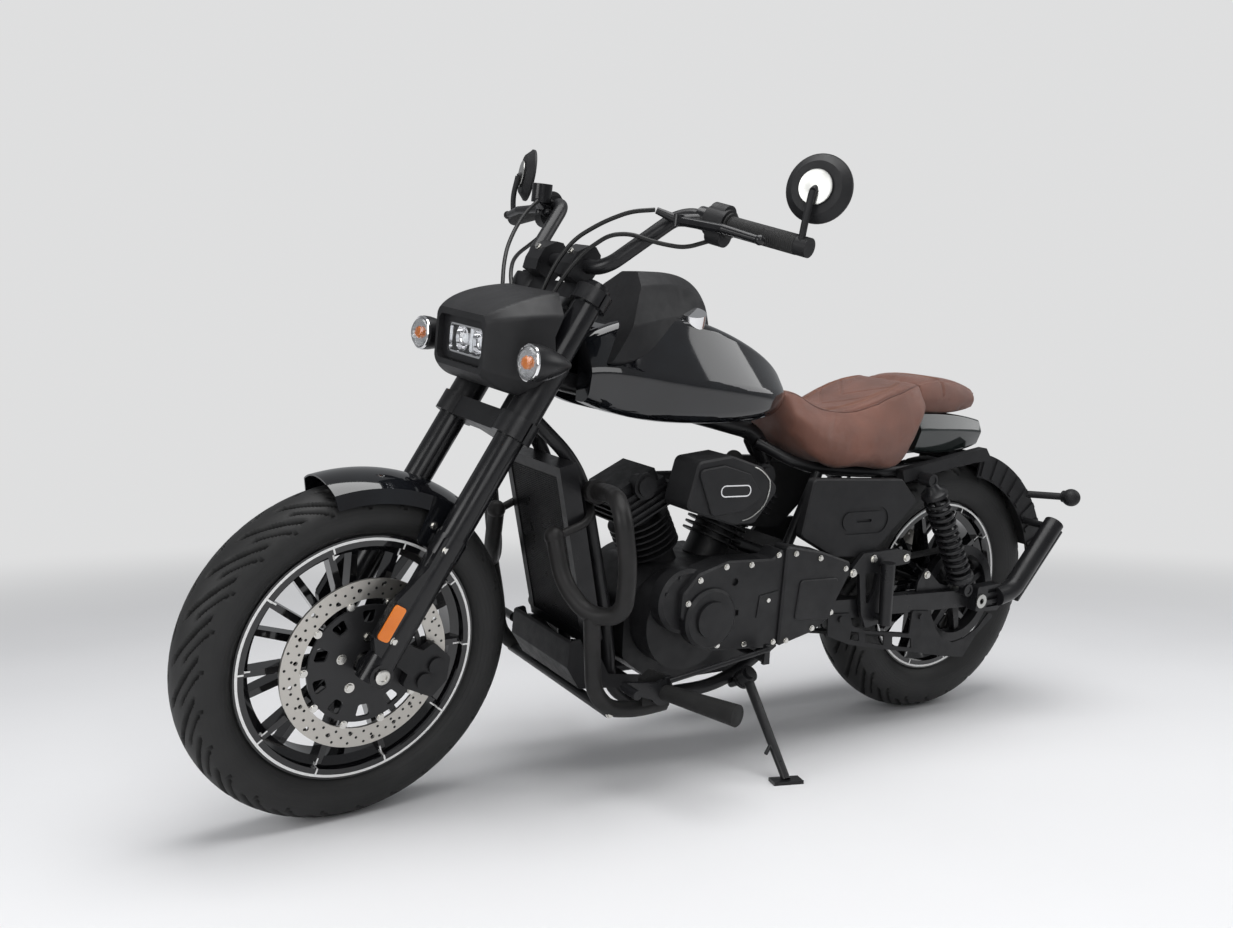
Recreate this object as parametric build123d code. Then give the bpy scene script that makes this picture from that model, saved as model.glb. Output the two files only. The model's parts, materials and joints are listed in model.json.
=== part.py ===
from build123d import *
from functools import cache
import math
import os
from typing import NamedTuple

# A V-twin cruiser motorcycle that leans on its side stand with its bars turned a little left.
# It is built upright and straight ahead in the machine's own frame, in millimetres: X forward,
# Y to the rider's left, Z up from the ground. The chassis keeps its stations and the wheels are
# placed from the swingarm pivot. standing() then turns the steered pieces, leans the machine on
# its stand and puts the origin under its middle.

# Stance
PIVOT = Vector(545, 0, 340)
SWINGARM_LENGTH = 545.0
PIVOT_TO_AXLE = 955.0
RAKE = 29.73
FORK_OFFSET = 52.0
LEAN = 8.27
STEER_REST = 7.0

# Fits and gaps
FIT = 0.05
SHAFT_GAP = 0.1
SEAT_GAP = 0.3
HEAD_GAP = 4.0
DISC_GAP = 3.0


class Wheel(NamedTuple):
    """Sizes of one cast wheel and its tyre."""

    tyre_radius: float
    tyre_half_width: float
    tread_half_width: float
    shoulder_radius: float
    seat_radius: float
    seat_half_width: float
    hub_radius: float
    hub_half_width: float
    axle_radius: float


FRONT = Wheel(314.0, 62.0, 55.0, 291.0, 216.0, 40.0, 40.0, 62.0, 12.0)
REAR = Wheel(325.0, 74.0, 66.0, 299.0, 203.0, 47.0, 48.0, 70.0, 13.0)
FLANGE_HEIGHT = 12.0
FLANGE_WIDTH = 5.0
RIM_WALL = 7.0
RIM_WELL = 15.0
SPOKE_PAIRS = 10
SPOKE_HUB_WIDTH = 17.0
SPOKE_RIM_WIDTH = 11.0
SPOKE_INNER = 6.0
SPOKE_OUTER = 34.0
AXLE_BORE_RADIUS = 7.0
REAR_AXLE_REACH = 194.0

# Brakes and final drive
FRONT_DISC_RADIUS = 157.0
FRONT_DISC_INNER = 121.0
FRONT_DISC_INSIDE = 62.5
DISC_THICKNESS = 5.0
REAR_DISC_RADIUS = 120.0
REAR_DISC_INNER = 84.0
DISC_HOLES = 20
DISC_HOLE_RADIUS = 4.0
CARRIER_ARMS = 10
PULLEY_RADIUS = 112.0
PULLEY_WIDTH = 27.0
PULLEY_INSIDE = 92.0
PULLEY_RIM = 12.0
PULLEY_SPOKES = 7
BELT_THICKNESS = 6.0
FRONT_PULLEY = Vector(650, 0, 345)
FRONT_PULLEY_RADIUS = 42.0
PIVOT_RADIUS = 12.0

# Fork, measured along the legs from the front axle
LEG_SPACING = 103.0
LEG_RADIUS = 27.0
SLIDER_RADIUS = 30.0
SLIDER_TOP = 267.0
SLIDER_INSIDE = 74.0
LOWER_CLAMP = 470.0
LOWER_CLAMP_HEIGHT = 40.0
TOP_CLAMP = 752.0
TOP_CLAMP_HEIGHT = 30.0
LEG_TOP = 790.0
COVER_RADIUS = 32.0
COVER_LENGTH = 120.0
STEM_RADIUS = 14.0
HEAD_TUBE_RADIUS = 29.0

# Bars
BAR_RADIUS = 14.0
BAR_FORWARD = 28.0
BAR_RISE = 38.0
RISER_OUTSIDE = 75.6
GRIP_RADIUS = 17.5
GRIP_LENGTH = 145.0
GRIP_INSET = 4.0
POD_LENGTH = 42.0
PERCH_LENGTH = 20.0
CABLE_RADIUS = 4.0

# Chassis tubes and outer planes of the left side
CRADLE_RADIUS = 14.0
RAIL_RADIUS = 13.0
BACKBONE_RADIUS = 20.0
GUARD_RADIUS = 17.0
CASE_HALF = 88.0
BULGE_OUTSIDE = 150.0
COVER_INSIDE = 168.0
COVER_FACE = 214.0
ARM_INSIDE = 138.0
ARM_OUTSIDE = 164.0
PANEL_INSIDE = 146.0
PANEL_FACE = 166.0
RADIATOR_HALF = 114.0

PEG_PLATE = 170.0
BLOCK_FACE = 190.0

# Tank
TANK_TAIL = 580.0
TUNNEL_HALF = 40.0

# Side stand
STAND_PIVOT = Vector(682, 152, 210)
STAND_FOOT_Y = 318.0
STAND_FOOT_X = 695.0
STAND_RADIUS = 9.0
STAND_EYE = 12.0
STAND_PIN = 7.0
STAND_FOLDED = Vector(-0.97, -0.2, 0.14)

# Shared placements
UPRIGHT = (Align.CENTER, Align.CENTER, Align.MIN)
REAR_AXLE = Location((PIVOT.X - SWINGARM_LENGTH, 0, REAR.tyre_radius))
FRONT_X = PIVOT.X + PIVOT_TO_AXLE
WHEELBASE = SWINGARM_LENGTH + PIVOT_TO_AXLE
FRONT_HUB = Location((FRONT_X, 0, FRONT.tyre_radius))
FORK = Location((FRONT_X, 0, FRONT.tyre_radius), (0, -RAKE, 0))
STEM = FORK * Pos(-FORK_OFFSET, 0, 0)
STEER = STEM * Rot(0, 0, STEER_REST) * STEM.inverse()
SHOCK_TOP = Vector(198, 160, 622)
SHOCK_FOOT = (REAR_AXLE * Pos(38, 168, 27)).position
HEAD_X = (STEM * Pos(0, 0, TOP_CLAMP)).position.X
BAR_CENTRE = (FORK * Pos(BAR_FORWARD, 0, TOP_CLAMP + TOP_CLAMP_HEIGHT + BAR_RISE)).position
BAR_BEND = BAR_CENTRE + Vector(-123, 186, 112)
BAR_END = BAR_CENTRE + Vector(-171, 434, 76)


# Building blocks


def rod(start, end, radius, end_radius=None):
    """A round bar from one point to another, tapered where a second radius is given."""
    run = Vector(*end) - Vector(*start)
    plane = Plane(origin=start, z_dir=run)
    if end_radius is None:
        return plane * Cylinder(radius, run.length, align=UPRIGHT)
    return plane * Cone(radius, end_radius, run.length, align=UPRIGHT)


def cross_pin(x, z, radius, inside, outside):
    """A round bar across the machine, from y=inside to y=outside."""
    return rod((x, inside, z), (x, outside, z), radius)


def ring(x, z, radius, bore, inside, outside):
    """A flat ring across the machine, from y=inside to y=outside."""
    return cross_pin(x, z, radius, inside, outside) - cross_pin(x, z, bore, inside, outside)


def bend_radii(points, limit=math.inf):
    """The largest bend at each inner corner that leaves a short straight beside it."""
    radii = []
    for before, corner, after in zip(points, points[1:], points[2:]):
        arriving = Vector(*corner) - Vector(*before)
        leaving = Vector(*after) - Vector(*corner)
        half_turn = math.radians(arriving.get_angle(leaving) / 2)
        largest = 0.45 * min(arriving.length, leaving.length) / math.tan(half_turn)
        radii.append(min(limit, largest))
    return radii


def closed_outline(points, corner):
    """A closed outline whose corners are rounded as far as their sides allow."""
    loop = [points[-1], *points, points[0]]
    return FilletPolyline(*points, radius=bend_radii(loop, corner), close=True)


def bent_tube(points, radius, bends=None):
    """A round bar swept along straight runs joined by tangent arcs."""
    path = FilletPolyline(*points, radius=bends or bend_radii(points))
    section = Plane(origin=path @ 0, z_dir=path % 0) * Circle(radius)
    return sweep(section, path=path)


def plate(outline, inside, outside, corner=0.0):
    """A flat piece that stands fore and aft, from y=inside to y=outside."""
    edge = closed_outline(outline, corner) if corner else Polyline(*outline, close=True)
    face = Plane.XZ.offset(-outside) * make_face(edge)
    return extrude(face, amount=outside - inside, dir=(0, -1, 0))


def bevelled(outline, inside, outside, corner, bevel):
    """A plate whose outer face has a bevelled rim."""
    body = plate(outline, inside, outside, corner)
    return chamfer(body.faces().sort_by(Axis.Y)[-1].edges(), bevel)


def deck(outline, low, high):
    """A flat piece that lies level, from z=low to z=high."""
    edge = Polyline(*outline, close=True)
    return extrude(Plane.XY.offset(low) * make_face(edge), amount=high - low, dir=(0, 0, 1))


def stadium(x, z, length, height, inside, outside):
    """A long round-ended pad that stands fore and aft."""
    face = Plane.XZ.offset(-outside) * (Pos(x, z) * SlotOverall(length, height))
    return extrude(face, amount=outside - inside, dir=(0, -1, 0))


def turned(profile):
    """A solid turned about the Y axis from points of radius and y."""
    return revolve(make_face(Polyline(*profile, close=True)), Axis.Y)


def other_side(shape):
    """The same piece on the rider's right."""
    return mirror(shape, about=Plane.XZ)


def both_sides(shape):
    """A left piece and its mirror image."""
    return shape + other_side(shape)


def around(piece, count, start=0.0):
    """Copies of a piece, evenly spaced about the Y axis."""
    step = 360.0 / count
    return [Rot(0, start + step * index, 0) * piece for index in range(count)]


def rounded_section(x, rows, corner):
    """A closed section across the machine at x from rows of half width and height."""
    left = [(half, height) for half, height in rows]
    right = [(-half, height) for half, height in reversed(rows)]
    return Plane.YZ.offset(x) * make_face(closed_outline(left + right, corner))


def hull_through(sections, corner, shift=0.0):
    """A smooth body through rounded sections, each given as its x and its rows."""
    return loft([rounded_section(x + shift, rows, corner) for x, rows in sections])


# Wheels


def tyre(wheel):
    """A tyre with round crown and full sidewalls, seated between the rim flanges."""
    seat = wheel.seat_radius + FIT
    lip = wheel.seat_radius + FLANGE_HEIGHT + 1.0
    bead = wheel.seat_half_width
    waist = (lip + wheel.shoulder_radius) / 2
    side = wheel.tyre_half_width
    shoulder = wheel.shoulder_radius
    tread = wheel.tread_half_width
    outline = Polyline((lip, -bead), (seat, -bead), (seat, bead), (lip, bead))
    outline += ThreePointArc((lip, bead), (waist, side), (shoulder, tread))
    outline += ThreePointArc((shoulder, tread), (wheel.tyre_radius, 0), (shoulder, -tread))
    outline += ThreePointArc((shoulder, -tread), (waist, -side), (lip, -bead))
    return revolve(make_face(outline), Axis.Y)


def rim_band(wheel):
    """The rim with its flanges, seats and drop centre."""
    seat = wheel.seat_radius
    lip = seat + FLANGE_HEIGHT
    inner = seat - RIM_WALL
    well = seat - RIM_WELL
    bead = wheel.seat_half_width + FIT
    edge = bead + FLANGE_WIDTH
    shelf = bead * 0.7
    floor = bead * 0.5
    outer = [(well, floor), (seat, shelf), (seat, bead), (lip, bead), (lip, edge), (inner, edge)]
    lower = [(inner, shelf), (well - RIM_WALL, floor)]
    mirrored_outer = [(radius, -y) for radius, y in reversed(outer)]
    mirrored_lower = [(radius, -y) for radius, y in reversed(lower)]
    return turned(outer + lower + mirrored_lower + mirrored_outer)


def cast_wheel(wheel):
    """Hub, rim and two rows of ten spokes that lean to opposite sides."""
    bore = wheel.axle_radius + SHAFT_GAP
    end = wheel.hub_half_width
    shoulder = end - 12
    nose = wheel.hub_radius - 6
    hub = turned([
        (bore, -end), (nose, -end), (wheel.hub_radius, -shoulder),
        (wheel.hub_radius, shoulder), (nose, end), (bore, end),
    ])
    reach = wheel.seat_radius - RIM_WALL - 2
    hub_half = SPOKE_HUB_WIDTH / 2
    rim_half = SPOKE_RIM_WIDTH / 2
    root = wheel.hub_radius - 3
    outline = [(root, -hub_half), (reach, -rim_half), (reach, rim_half), (root, hub_half)]
    left_spoke = plate(outline, SPOKE_INNER, SPOKE_OUTER)
    right_spoke = plate(outline, -SPOKE_OUTER, -SPOKE_INNER)
    spokes = around(left_spoke, SPOKE_PAIRS)
    spokes += around(right_spoke, SPOKE_PAIRS, 180.0 / SPOKE_PAIRS)
    return rim_band(wheel) + hub + spokes


def brake_disc(radius, inner, hub_radius, inside):
    """A drilled rotor on a spider with slotted windows, its inner face at y=inside."""
    outside = inside + DISC_THICKNESS
    rotor = ring(0, 0, radius, inner, inside, outside)
    edge = inner - 12
    spider = ring(0, 0, edge, hub_radius, inside, outside)
    window = plate([(edge - 32, -9), (edge - 9, -14), (edge - 9, 14), (edge - 32, 9)], inside, outside, 5)
    arm = plate([(edge - 6, -8), (inner + 6, -6), (inner + 6, 6), (edge - 6, 8)], inside, outside)
    middle = (radius + inner) / 2
    spread = (radius - inner) / 5
    holes = []
    for index in range(DISC_HOLES):
        angle = math.radians(360.0 * index / DISC_HOLES + 9)
        row = middle + spread * (index % 3 - 1)
        hole = cross_pin(row * math.cos(angle), row * math.sin(angle), DISC_HOLE_RADIUS, inside, outside)
        holes.append(hole)
    spider = spider - around(window, CARRIER_ARMS, 18)
    return rotor + spider + around(arm, CARRIER_ARMS) - holes


@cache
def front_tyre():
    """The front tyre."""
    return FRONT_HUB * tyre(FRONT)


@cache
def front_rim():
    """The front wheel."""
    return FRONT_HUB * cast_wheel(FRONT)


@cache
def front_disc():
    """The front brake rotor on the left of the hub."""
    return FRONT_HUB * brake_disc(FRONT_DISC_RADIUS, FRONT_DISC_INNER, 24.0, FRONT_DISC_INSIDE)


@cache
def rear_tyre():
    """The rear tyre."""
    return REAR_AXLE * tyre(REAR)


@cache
def rear_rim():
    """The rear wheel."""
    return REAR_AXLE * cast_wheel(REAR)


@cache
def rear_disc():
    """The rear brake rotor on the right of the hub."""
    disc = brake_disc(REAR_DISC_RADIUS, REAR_DISC_INNER, 26.0, REAR.hub_half_width + 0.5)
    return REAR_AXLE * other_side(disc)


@cache
def rear_pulley():
    """The belt pulley with its open spokes, guide flange and boss on the hub."""
    outside = PULLEY_INSIDE + PULLEY_WIDTH
    bore = PULLEY_RADIUS - PULLEY_RIM
    band = ring(0, 0, PULLEY_RADIUS, bore, PULLEY_INSIDE, outside)
    guide = ring(0, 0, PULLEY_RADIUS + 10, bore, outside, outside + 3)
    boss = ring(0, 0, 40, 22, REAR.hub_half_width + 0.5, outside - 4)
    reach = PULLEY_RADIUS - 8
    spoke = plate([(34, -11), (reach, -7), (reach, 7), (34, 11)], PULLEY_INSIDE + 4, outside - 6)
    return REAR_AXLE * (band + guide + boss + around(spoke, PULLEY_SPOKES))


# Fork and bars


@cache
def fork_sliders():
    """Both lower fork legs: tube, collar, lug plate ahead of the leg and axle boss."""
    leg = Pos(0, LEG_SPACING, 0)
    barrel = leg * Pos(0, 0, -20) * Cylinder(SLIDER_RADIUS - 2, SLIDER_TOP + 20, align=UPRIGHT)
    collar = leg * Pos(0, 0, SLIDER_TOP - 40) * Cylinder(SLIDER_RADIUS, 40, align=UPRIGHT)
    inside = LEG_SPACING + 6
    top = SLIDER_TOP - 5
    outline = [(0, 24), (32, 30), (50, 52), (50, 118), (40, 150), (26, 200), (26, top), (0, top)]
    lug = plate(outline, inside, inside + 16, 6)
    boss = cross_pin(0, 0, 22, SLIDER_INSIDE, LEG_SPACING + 26)
    shape = barrel + collar + lug + boss
    shape -= leg * Pos(0, 0, SLIDER_TOP - 70) * Cylinder(LEG_RADIUS + FIT, 80, align=UPRIGHT)
    shape -= cross_pin(0, 0, FRONT.axle_radius + FIT, 0, LEG_SPACING + 60)
    return FORK * both_sides(shape)


@cache
def fork_tubes():
    """The two fork tubes with their top caps."""
    bottom = SLIDER_TOP - 69
    tube = Pos(0, LEG_SPACING, bottom) * Cylinder(LEG_RADIUS, LEG_TOP - bottom, align=UPRIGHT)
    cap = Pos(0, LEG_SPACING, LEG_TOP) * Cylinder(LEG_RADIUS - 6, 6, align=UPRIGHT)
    return FORK * both_sides(tube + cap)


@cache
def fork_covers():
    """Sleeves over the tubes from the lower clamp up to the lamp housing."""
    base = LOWER_CLAMP + LOWER_CLAMP_HEIGHT + FIT
    outer = Pos(0, LEG_SPACING, base) * Cylinder(COVER_RADIUS, COVER_LENGTH, align=UPRIGHT)
    inner = Pos(0, LEG_SPACING, base) * Cylinder(LEG_RADIUS + FIT, COVER_LENGTH, align=UPRIGHT)
    return FORK * both_sides(outer - inner)


def clamp_plate(collar_radius, front, back, low, height):
    """A fork clamp: a bridge between two collars, with a boss on the steering axis."""
    bridge = deck([(back, -LEG_SPACING), (front, -LEG_SPACING), (front, LEG_SPACING), (back, LEG_SPACING)],
                  low, low + height)
    collar = Pos(0, LEG_SPACING, low) * Cylinder(collar_radius, height, align=UPRIGHT)
    boss = Pos(-FORK_OFFSET, 0, low) * Cylinder(HEAD_TUBE_RADIUS, height, align=UPRIGHT)
    root = HEAD_TUBE_RADIUS + 14
    neck = deck([(-FORK_OFFSET, -HEAD_TUBE_RADIUS), (front, -root), (front, root), (-FORK_OFFSET, HEAD_TUBE_RADIUS)],
                low, low + height)
    bore = Pos(0, LEG_SPACING, low) * Cylinder(LEG_RADIUS + FIT, height, align=UPRIGHT)
    slit = Pos(0, LEG_SPACING + LEG_RADIUS, low) * Box(4, 2 * LEG_RADIUS, height, align=UPRIGHT)
    return bridge + both_sides(collar) + boss + neck - both_sides(bore) - both_sides(slit)


@cache
def fork_clamps():
    """Lower and top fork clamps joined by the steering stem."""
    lower = clamp_plate(38, 24, -24, LOWER_CLAMP, LOWER_CLAMP_HEIGHT)
    top = clamp_plate(36, 20, -22, TOP_CLAMP, TOP_CLAMP_HEIGHT)
    length = TOP_CLAMP + TOP_CLAMP_HEIGHT - LOWER_CLAMP
    stem = Pos(-FORK_OFFSET, 0, LOWER_CLAMP) * Cylinder(STEM_RADIUS, length, align=UPRIGHT)
    nut = Pos(-FORK_OFFSET, 0, TOP_CLAMP + TOP_CLAMP_HEIGHT) * Cylinder(17, 10, align=UPRIGHT)
    return FORK * (lower + top + stem + nut)


@cache
def front_axle():
    """The hollow front axle with a collar each side of the hub."""
    reach = LEG_SPACING + 28
    axle = cross_pin(0, 0, FRONT.axle_radius, -reach, reach)
    collar = cross_pin(0, 0, FRONT.axle_radius + 5, FRONT.hub_half_width + 0.4, SLIDER_INSIDE - FIT)
    axle += both_sides(collar)
    axle -= cross_pin(0, 0, AXLE_BORE_RADIUS, -reach, reach)
    return FORK * axle


@cache
def front_fender():
    """A short domed mudguard over the tyre with a tab down to each slider."""
    skin = 3.0
    swept = 52.0
    rear_edge = 128.0
    crown = FRONT.tyre_radius + 24
    shoulder = FRONT.tyre_radius + 4
    brow = FRONT.tyre_radius - 22
    half = LEG_SPACING - SLIDER_RADIUS - 1
    bend = half - 6
    outer = ThreePointArc((shoulder, -bend), (crown, 0), (shoulder, bend))
    outer += Polyline((shoulder, bend), (brow, half), (brow, half - skin), (shoulder - 1, bend - skin))
    outer += ThreePointArc((shoulder - 1, bend - skin), (crown - skin, 0), (shoulder - 1, skin - bend))
    outer += Polyline((shoulder - 1, skin - bend), (brow, skin - half), (brow, -half), (shoulder, -bend))
    guard = revolve(make_face(outer), Axis.Y, revolution_arc=swept)
    guard = FRONT_HUB * Rot(0, -rear_edge, 0) * guard
    tab = plate([(-24, 228), (40, 228), (52, 300), (-34, 300)], half - skin, half, 8)
    lug = plate([(-18, 236), (18, 236), (18, 256), (-18, 256)], half - skin, LEG_SPACING - LEG_RADIUS - 0.5)
    return guard + FORK * both_sides(tab + lug) - fork_sliders()


COWL_SECTIONS = (
    (-172, [(78, 832), (86, 844), (86, 924), (78, 936)]),
    (-212, [(98, 806), (120, 836), (118, 938), (94, 958)]),
    (-266, [(110, 798), (138, 832), (132, 946), (94, 976)]),
    (-352, [(110, 806), (142, 840), (132, 946), (84, 988)]),
)
COWL_ROOM = [(92, 812), (114, 842), (108, 938), (80, 956)]
LAMP_POCKET = [(70, 842), (78, 852), (78, 914), (70, 924)]
COWL_REAR = [(23, -100), (23, 627), (47, 660), (58, 760), (58, 1000), (-400, 1000), (-400, -100)]
LAMP_FACE = -183.0
LAMP_DEPTH = 40.0


def inset(rows, gap):
    """Section rows drawn in by a gap all round."""
    centre = (rows[0][1] + rows[-1][1]) / 2
    return [(half - gap, height + math.copysign(gap, centre - height)) for half, height in rows]


@cache
def headlight_cowl():
    """The lamp housing: a wedge ahead of the fork legs with a lamp pocket and a hollow behind."""
    shell = hull_through(COWL_SECTIONS, 14, FRONT_X)
    pocket = rounded_section(FRONT_X + COWL_SECTIONS[0][0] + 1, LAMP_POCKET, 6)
    room = rounded_section(FRONT_X + LAMP_FACE - LAMP_DEPTH, COWL_ROOM, 10)
    shell -= extrude(pocket, amount=-60)
    shell -= extrude(room, amount=-200)
    shell -= FORK * plate(COWL_REAR, -200, 200)
    base = LOWER_CLAMP + LOWER_CLAMP_HEIGHT
    bore = Pos(0, LEG_SPACING, base) * Cylinder(COVER_RADIUS + SEAT_GAP, COVER_LENGTH + 10, align=UPRIGHT)
    shell -= FORK * both_sides(bore)
    return shell - cable_runs(CABLE_RADIUS + SEAT_GAP)


@cache
def headlight_lamp():
    """The lamp unit in the housing's front: body, raised bezel and a lens."""
    rim = inset(LAMP_POCKET, SEAT_GAP)
    body = extrude(rounded_section(FRONT_X + LAMP_FACE, rim, 6), amount=-LAMP_DEPTH)
    dish = extrude(rounded_section(FRONT_X + LAMP_FACE, inset(LAMP_POCKET, 10), 6), amount=-8)
    lens = extrude(rounded_section(FRONT_X + LAMP_FACE - 3, inset(LAMP_POCKET, 16), 6), amount=-8)
    return body - dish + lens


@cache
def front_signals():
    """Bullet-shaped turn signals on short stalks at both sides of the fork."""
    face = Vector(FRONT_X - 198, 190, 872)
    tip = Vector(FRONT_X - 284, 190, 868)
    back = (tip - face).normalized()
    shell = rod(face + back * 4, face + back * 40, 33, 28) + rod(face + back * 40, tip, 28, 9)
    glass = rod(face - back * 8, face, 24, 30) + rod(face, face + back * 4, 30)
    stalk = cross_pin(FRONT_X - 274, 865, 9, 132, 190)
    return both_sides(shell + glass + stalk) - headlight_cowl()


@cache
def handlebar():
    """One wide tube that rises from the clamps and sweeps back to the grips."""
    elbow = BAR_CENTRE + Vector(-8, 118, -4)
    left = [elbow, BAR_BEND, BAR_END]
    right = [Vector(point.X, -point.Y, point.Z) for point in reversed(left)]
    return bent_tube([*right, BAR_CENTRE, *left], BAR_RADIUS, [55, 50, 60, 50, 55])


@cache
def bar_risers():
    """Two clamp blocks that carry the bar over the top clamp."""
    base = TOP_CLAMP + TOP_CLAMP_HEIGHT + FIT
    centre = TOP_CLAMP + TOP_CLAMP_HEIGHT + BAR_RISE
    low = BAR_FORWARD - 30
    high = BAR_FORWARD + 30
    outline = [
        (low + 6, base), (high - 6, base), (high, base + 20), (high, centre + 8), (high - 16, centre + 32),
        (BAR_FORWARD, centre + 38), (low + 12, centre + 32), (low, centre + 8), (low + 2, base + 18),
    ]
    block = plate(outline, 30, RISER_OUTSIDE)
    joint = plate([
        (low, centre - 1), (BAR_FORWARD, centre - 1), (BAR_FORWARD, centre + 1), (low, centre + 1),
    ], 30, RISER_OUTSIDE)
    return FORK * both_sides(block - joint) - handlebar()


@cache
def grip_axis():
    """The unit vector along the left bar end, outward."""
    return (BAR_END - BAR_BEND).normalized()


def on_grip(distance, forward=0.0, up=0.0):
    """A point a distance in from the left bar end, set ahead of and above the tube."""
    return BAR_END - grip_axis() * distance + Vector(forward, 0, up)


@cache
def grips():
    """Rubber grips over the bar ends, with a raised inner flange."""
    start = GRIP_INSET + GRIP_LENGTH
    grip = rod(on_grip(start), on_grip(GRIP_INSET), GRIP_RADIUS)
    flange = rod(on_grip(start), on_grip(start - 5), GRIP_RADIUS + 5)
    bore = rod(on_grip(start + 1), on_grip(0), BAR_RADIUS + FIT)
    return both_sides(grip + flange - bore)


@cache
def control_pods():
    """Switch housings inboard of both grips: a barrel, a top box and a lower lobe."""
    outer = GRIP_INSET + GRIP_LENGTH + SEAT_GAP
    inner = outer + POD_LENGTH
    barrel = rod(on_grip(inner), on_grip(outer), 27)
    box = rod(on_grip(inner - 4, -4, 12), on_grip(outer + 6, -4, 12), 22)
    lobe = rod(on_grip(inner - 6, 2, -20), on_grip(outer + 4, 2, -20), 20)
    bore = rod(on_grip(inner + 1), on_grip(outer - 1), BAR_RADIUS + FIT)
    return both_sides(barrel + box + lobe - bore) - handlebar()


@cache
def levers():
    """Perches and blades ahead of the grips, with the brake's fluid cup on the right."""
    outer = GRIP_INSET + GRIP_LENGTH + SEAT_GAP + POD_LENGTH + 2
    inner = outer + PERCH_LENGTH
    pivot = on_grip(inner + 9, 43, -11)
    knuckle = on_grip(116, 51, -3)
    tip = on_grip(43, 45, -5)
    barrel = rod(on_grip(inner), on_grip(outer), 21)
    arm = rod(on_grip(outer + 8, 10, -2), pivot, 11)
    adjuster = rod(pivot, pivot + Vector(30, -28, 13), 9, 6)
    blade = rod(pivot, knuckle, 9, 8) + rod(knuckle, tip, 8, 6.5)
    blade += Pos(*knuckle) * Sphere(8) + Pos(*tip) * Sphere(9)
    hub = rod(pivot - Vector(0, 0, 10), pivot + Vector(0, 0, 10), 11)
    cup = Pos(*on_grip(inner - 8, 36, 4)) * Cylinder(21, 38, align=UPRIGHT)
    neck = rod(on_grip(inner - 10, 4, 0), on_grip(inner - 8, 34, 12), 12)
    held = both_sides(barrel + arm + adjuster + blade + hub) + other_side(cup + neck)
    return held - handlebar() - control_pods()


@cache
def mirrors():
    """Round bar-end mirrors: clamp, bent arm and a domed head."""
    clamp = rod(on_grip(GRIP_INSET - SEAT_GAP), on_grip(-20), 17)
    top = BAR_END + Vector(1, 12, 90)
    arm = bent_tube([on_grip(-8, 8, 4), BAR_END + Vector(9, 13, 44), top], 6)
    rim = BAR_END + Vector(-26, 3, 95)
    facing = Vector(0.92, 0.37, 0.09).normalized()
    head = rod(rim, rim + facing * 5, 58) + rod(rim + facing * 5, rim + facing * 18, 57, 44)
    dish = rod(rim + facing * 17, rim + facing * 20, 30)
    stub = rod(rim + facing * 16, top, 6)
    return both_sides(clamp + arm + head + dish + stub) - handlebar()


CABLE_ROUTES = (
    [(-438, 186, 1150), (-412, 152, 1143), (-384, 112, 1120), (-352, 72, 1084), (-336, 46, 1038),
     (-326, 34, 1000), (-318, 28, 966), (-312, 26, 934)],
    [(-515, 250, 1106), (-488, 222, 1090), (-452, 186, 1093), (-416, 152, 1104), (-388, 128, 1098),
     (-360, 100, 1066), (-342, 80, 1030), (-326, 68, 994), (-314, 62, 960), (-306, 58, 930)],
    [(-438, -186, 1150), (-410, -184, 1124), (-382, -174, 1090), (-354, -154, 1052), (-332, -126, 1016),
     (-316, -98, 980), (-306, -82, 944)],
    [(-515, -250, 1106), (-484, -236, 1078), (-444, -214, 1058), (-402, -184, 1042), (-366, -148, 1026),
     (-338, -108, 1002), (-322, -72, 972), (-314, -52, 938)],
)


def cable_runs(radius):
    """The four control cables' routes from the bars into the lamp housing, at a radius."""
    runs = [bent_tube([(FRONT_X + x, y, z) for x, y, z in route], radius) for route in CABLE_ROUTES]
    return runs[0] + runs[1:]


@cache
def control_cables():
    """Clutch, throttle and brake cables from the bars into the lamp housing."""
    return cable_runs(CABLE_RADIUS) - levers() - control_pods()


@cache
def front_caliper():
    """A two-piston caliper that straddles the rotor behind the left leg."""
    low = FRONT_DISC_INSIDE - DISC_GAP
    high = FRONT_DISC_INSIDE + DISC_THICKNESS + DISC_GAP
    outline = [(-148, -6), (-78, -10), (-70, 50), (-92, 86), (-140, 74), (-158, 34)]
    body = plate(outline, low - 13, high + 18, 10)
    slot = cross_pin(0, 0, FRONT_DISC_RADIUS + DISC_GAP, low, high)
    bracket = plate([(-100, 10), (-20, 24), (-20, 60), (-100, 66)], high + 4, high + 18)
    pistons = cross_pin(-112, 16, 15, high + 18, high + 24) + cross_pin(-118, 50, 15, high + 18, high + 24)
    leg = Pos(0, LEG_SPACING, -30) * Cylinder(SLIDER_RADIUS - 2, 300, align=UPRIGHT)
    return FORK * (body - slot + bracket + pistons - leg)


# Chassis


def tank_x(share):
    """The station at a share of the way from the tank's tail to the steering head."""
    return TANK_TAIL + share * (HEAD_X - TANK_TAIL)


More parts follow.
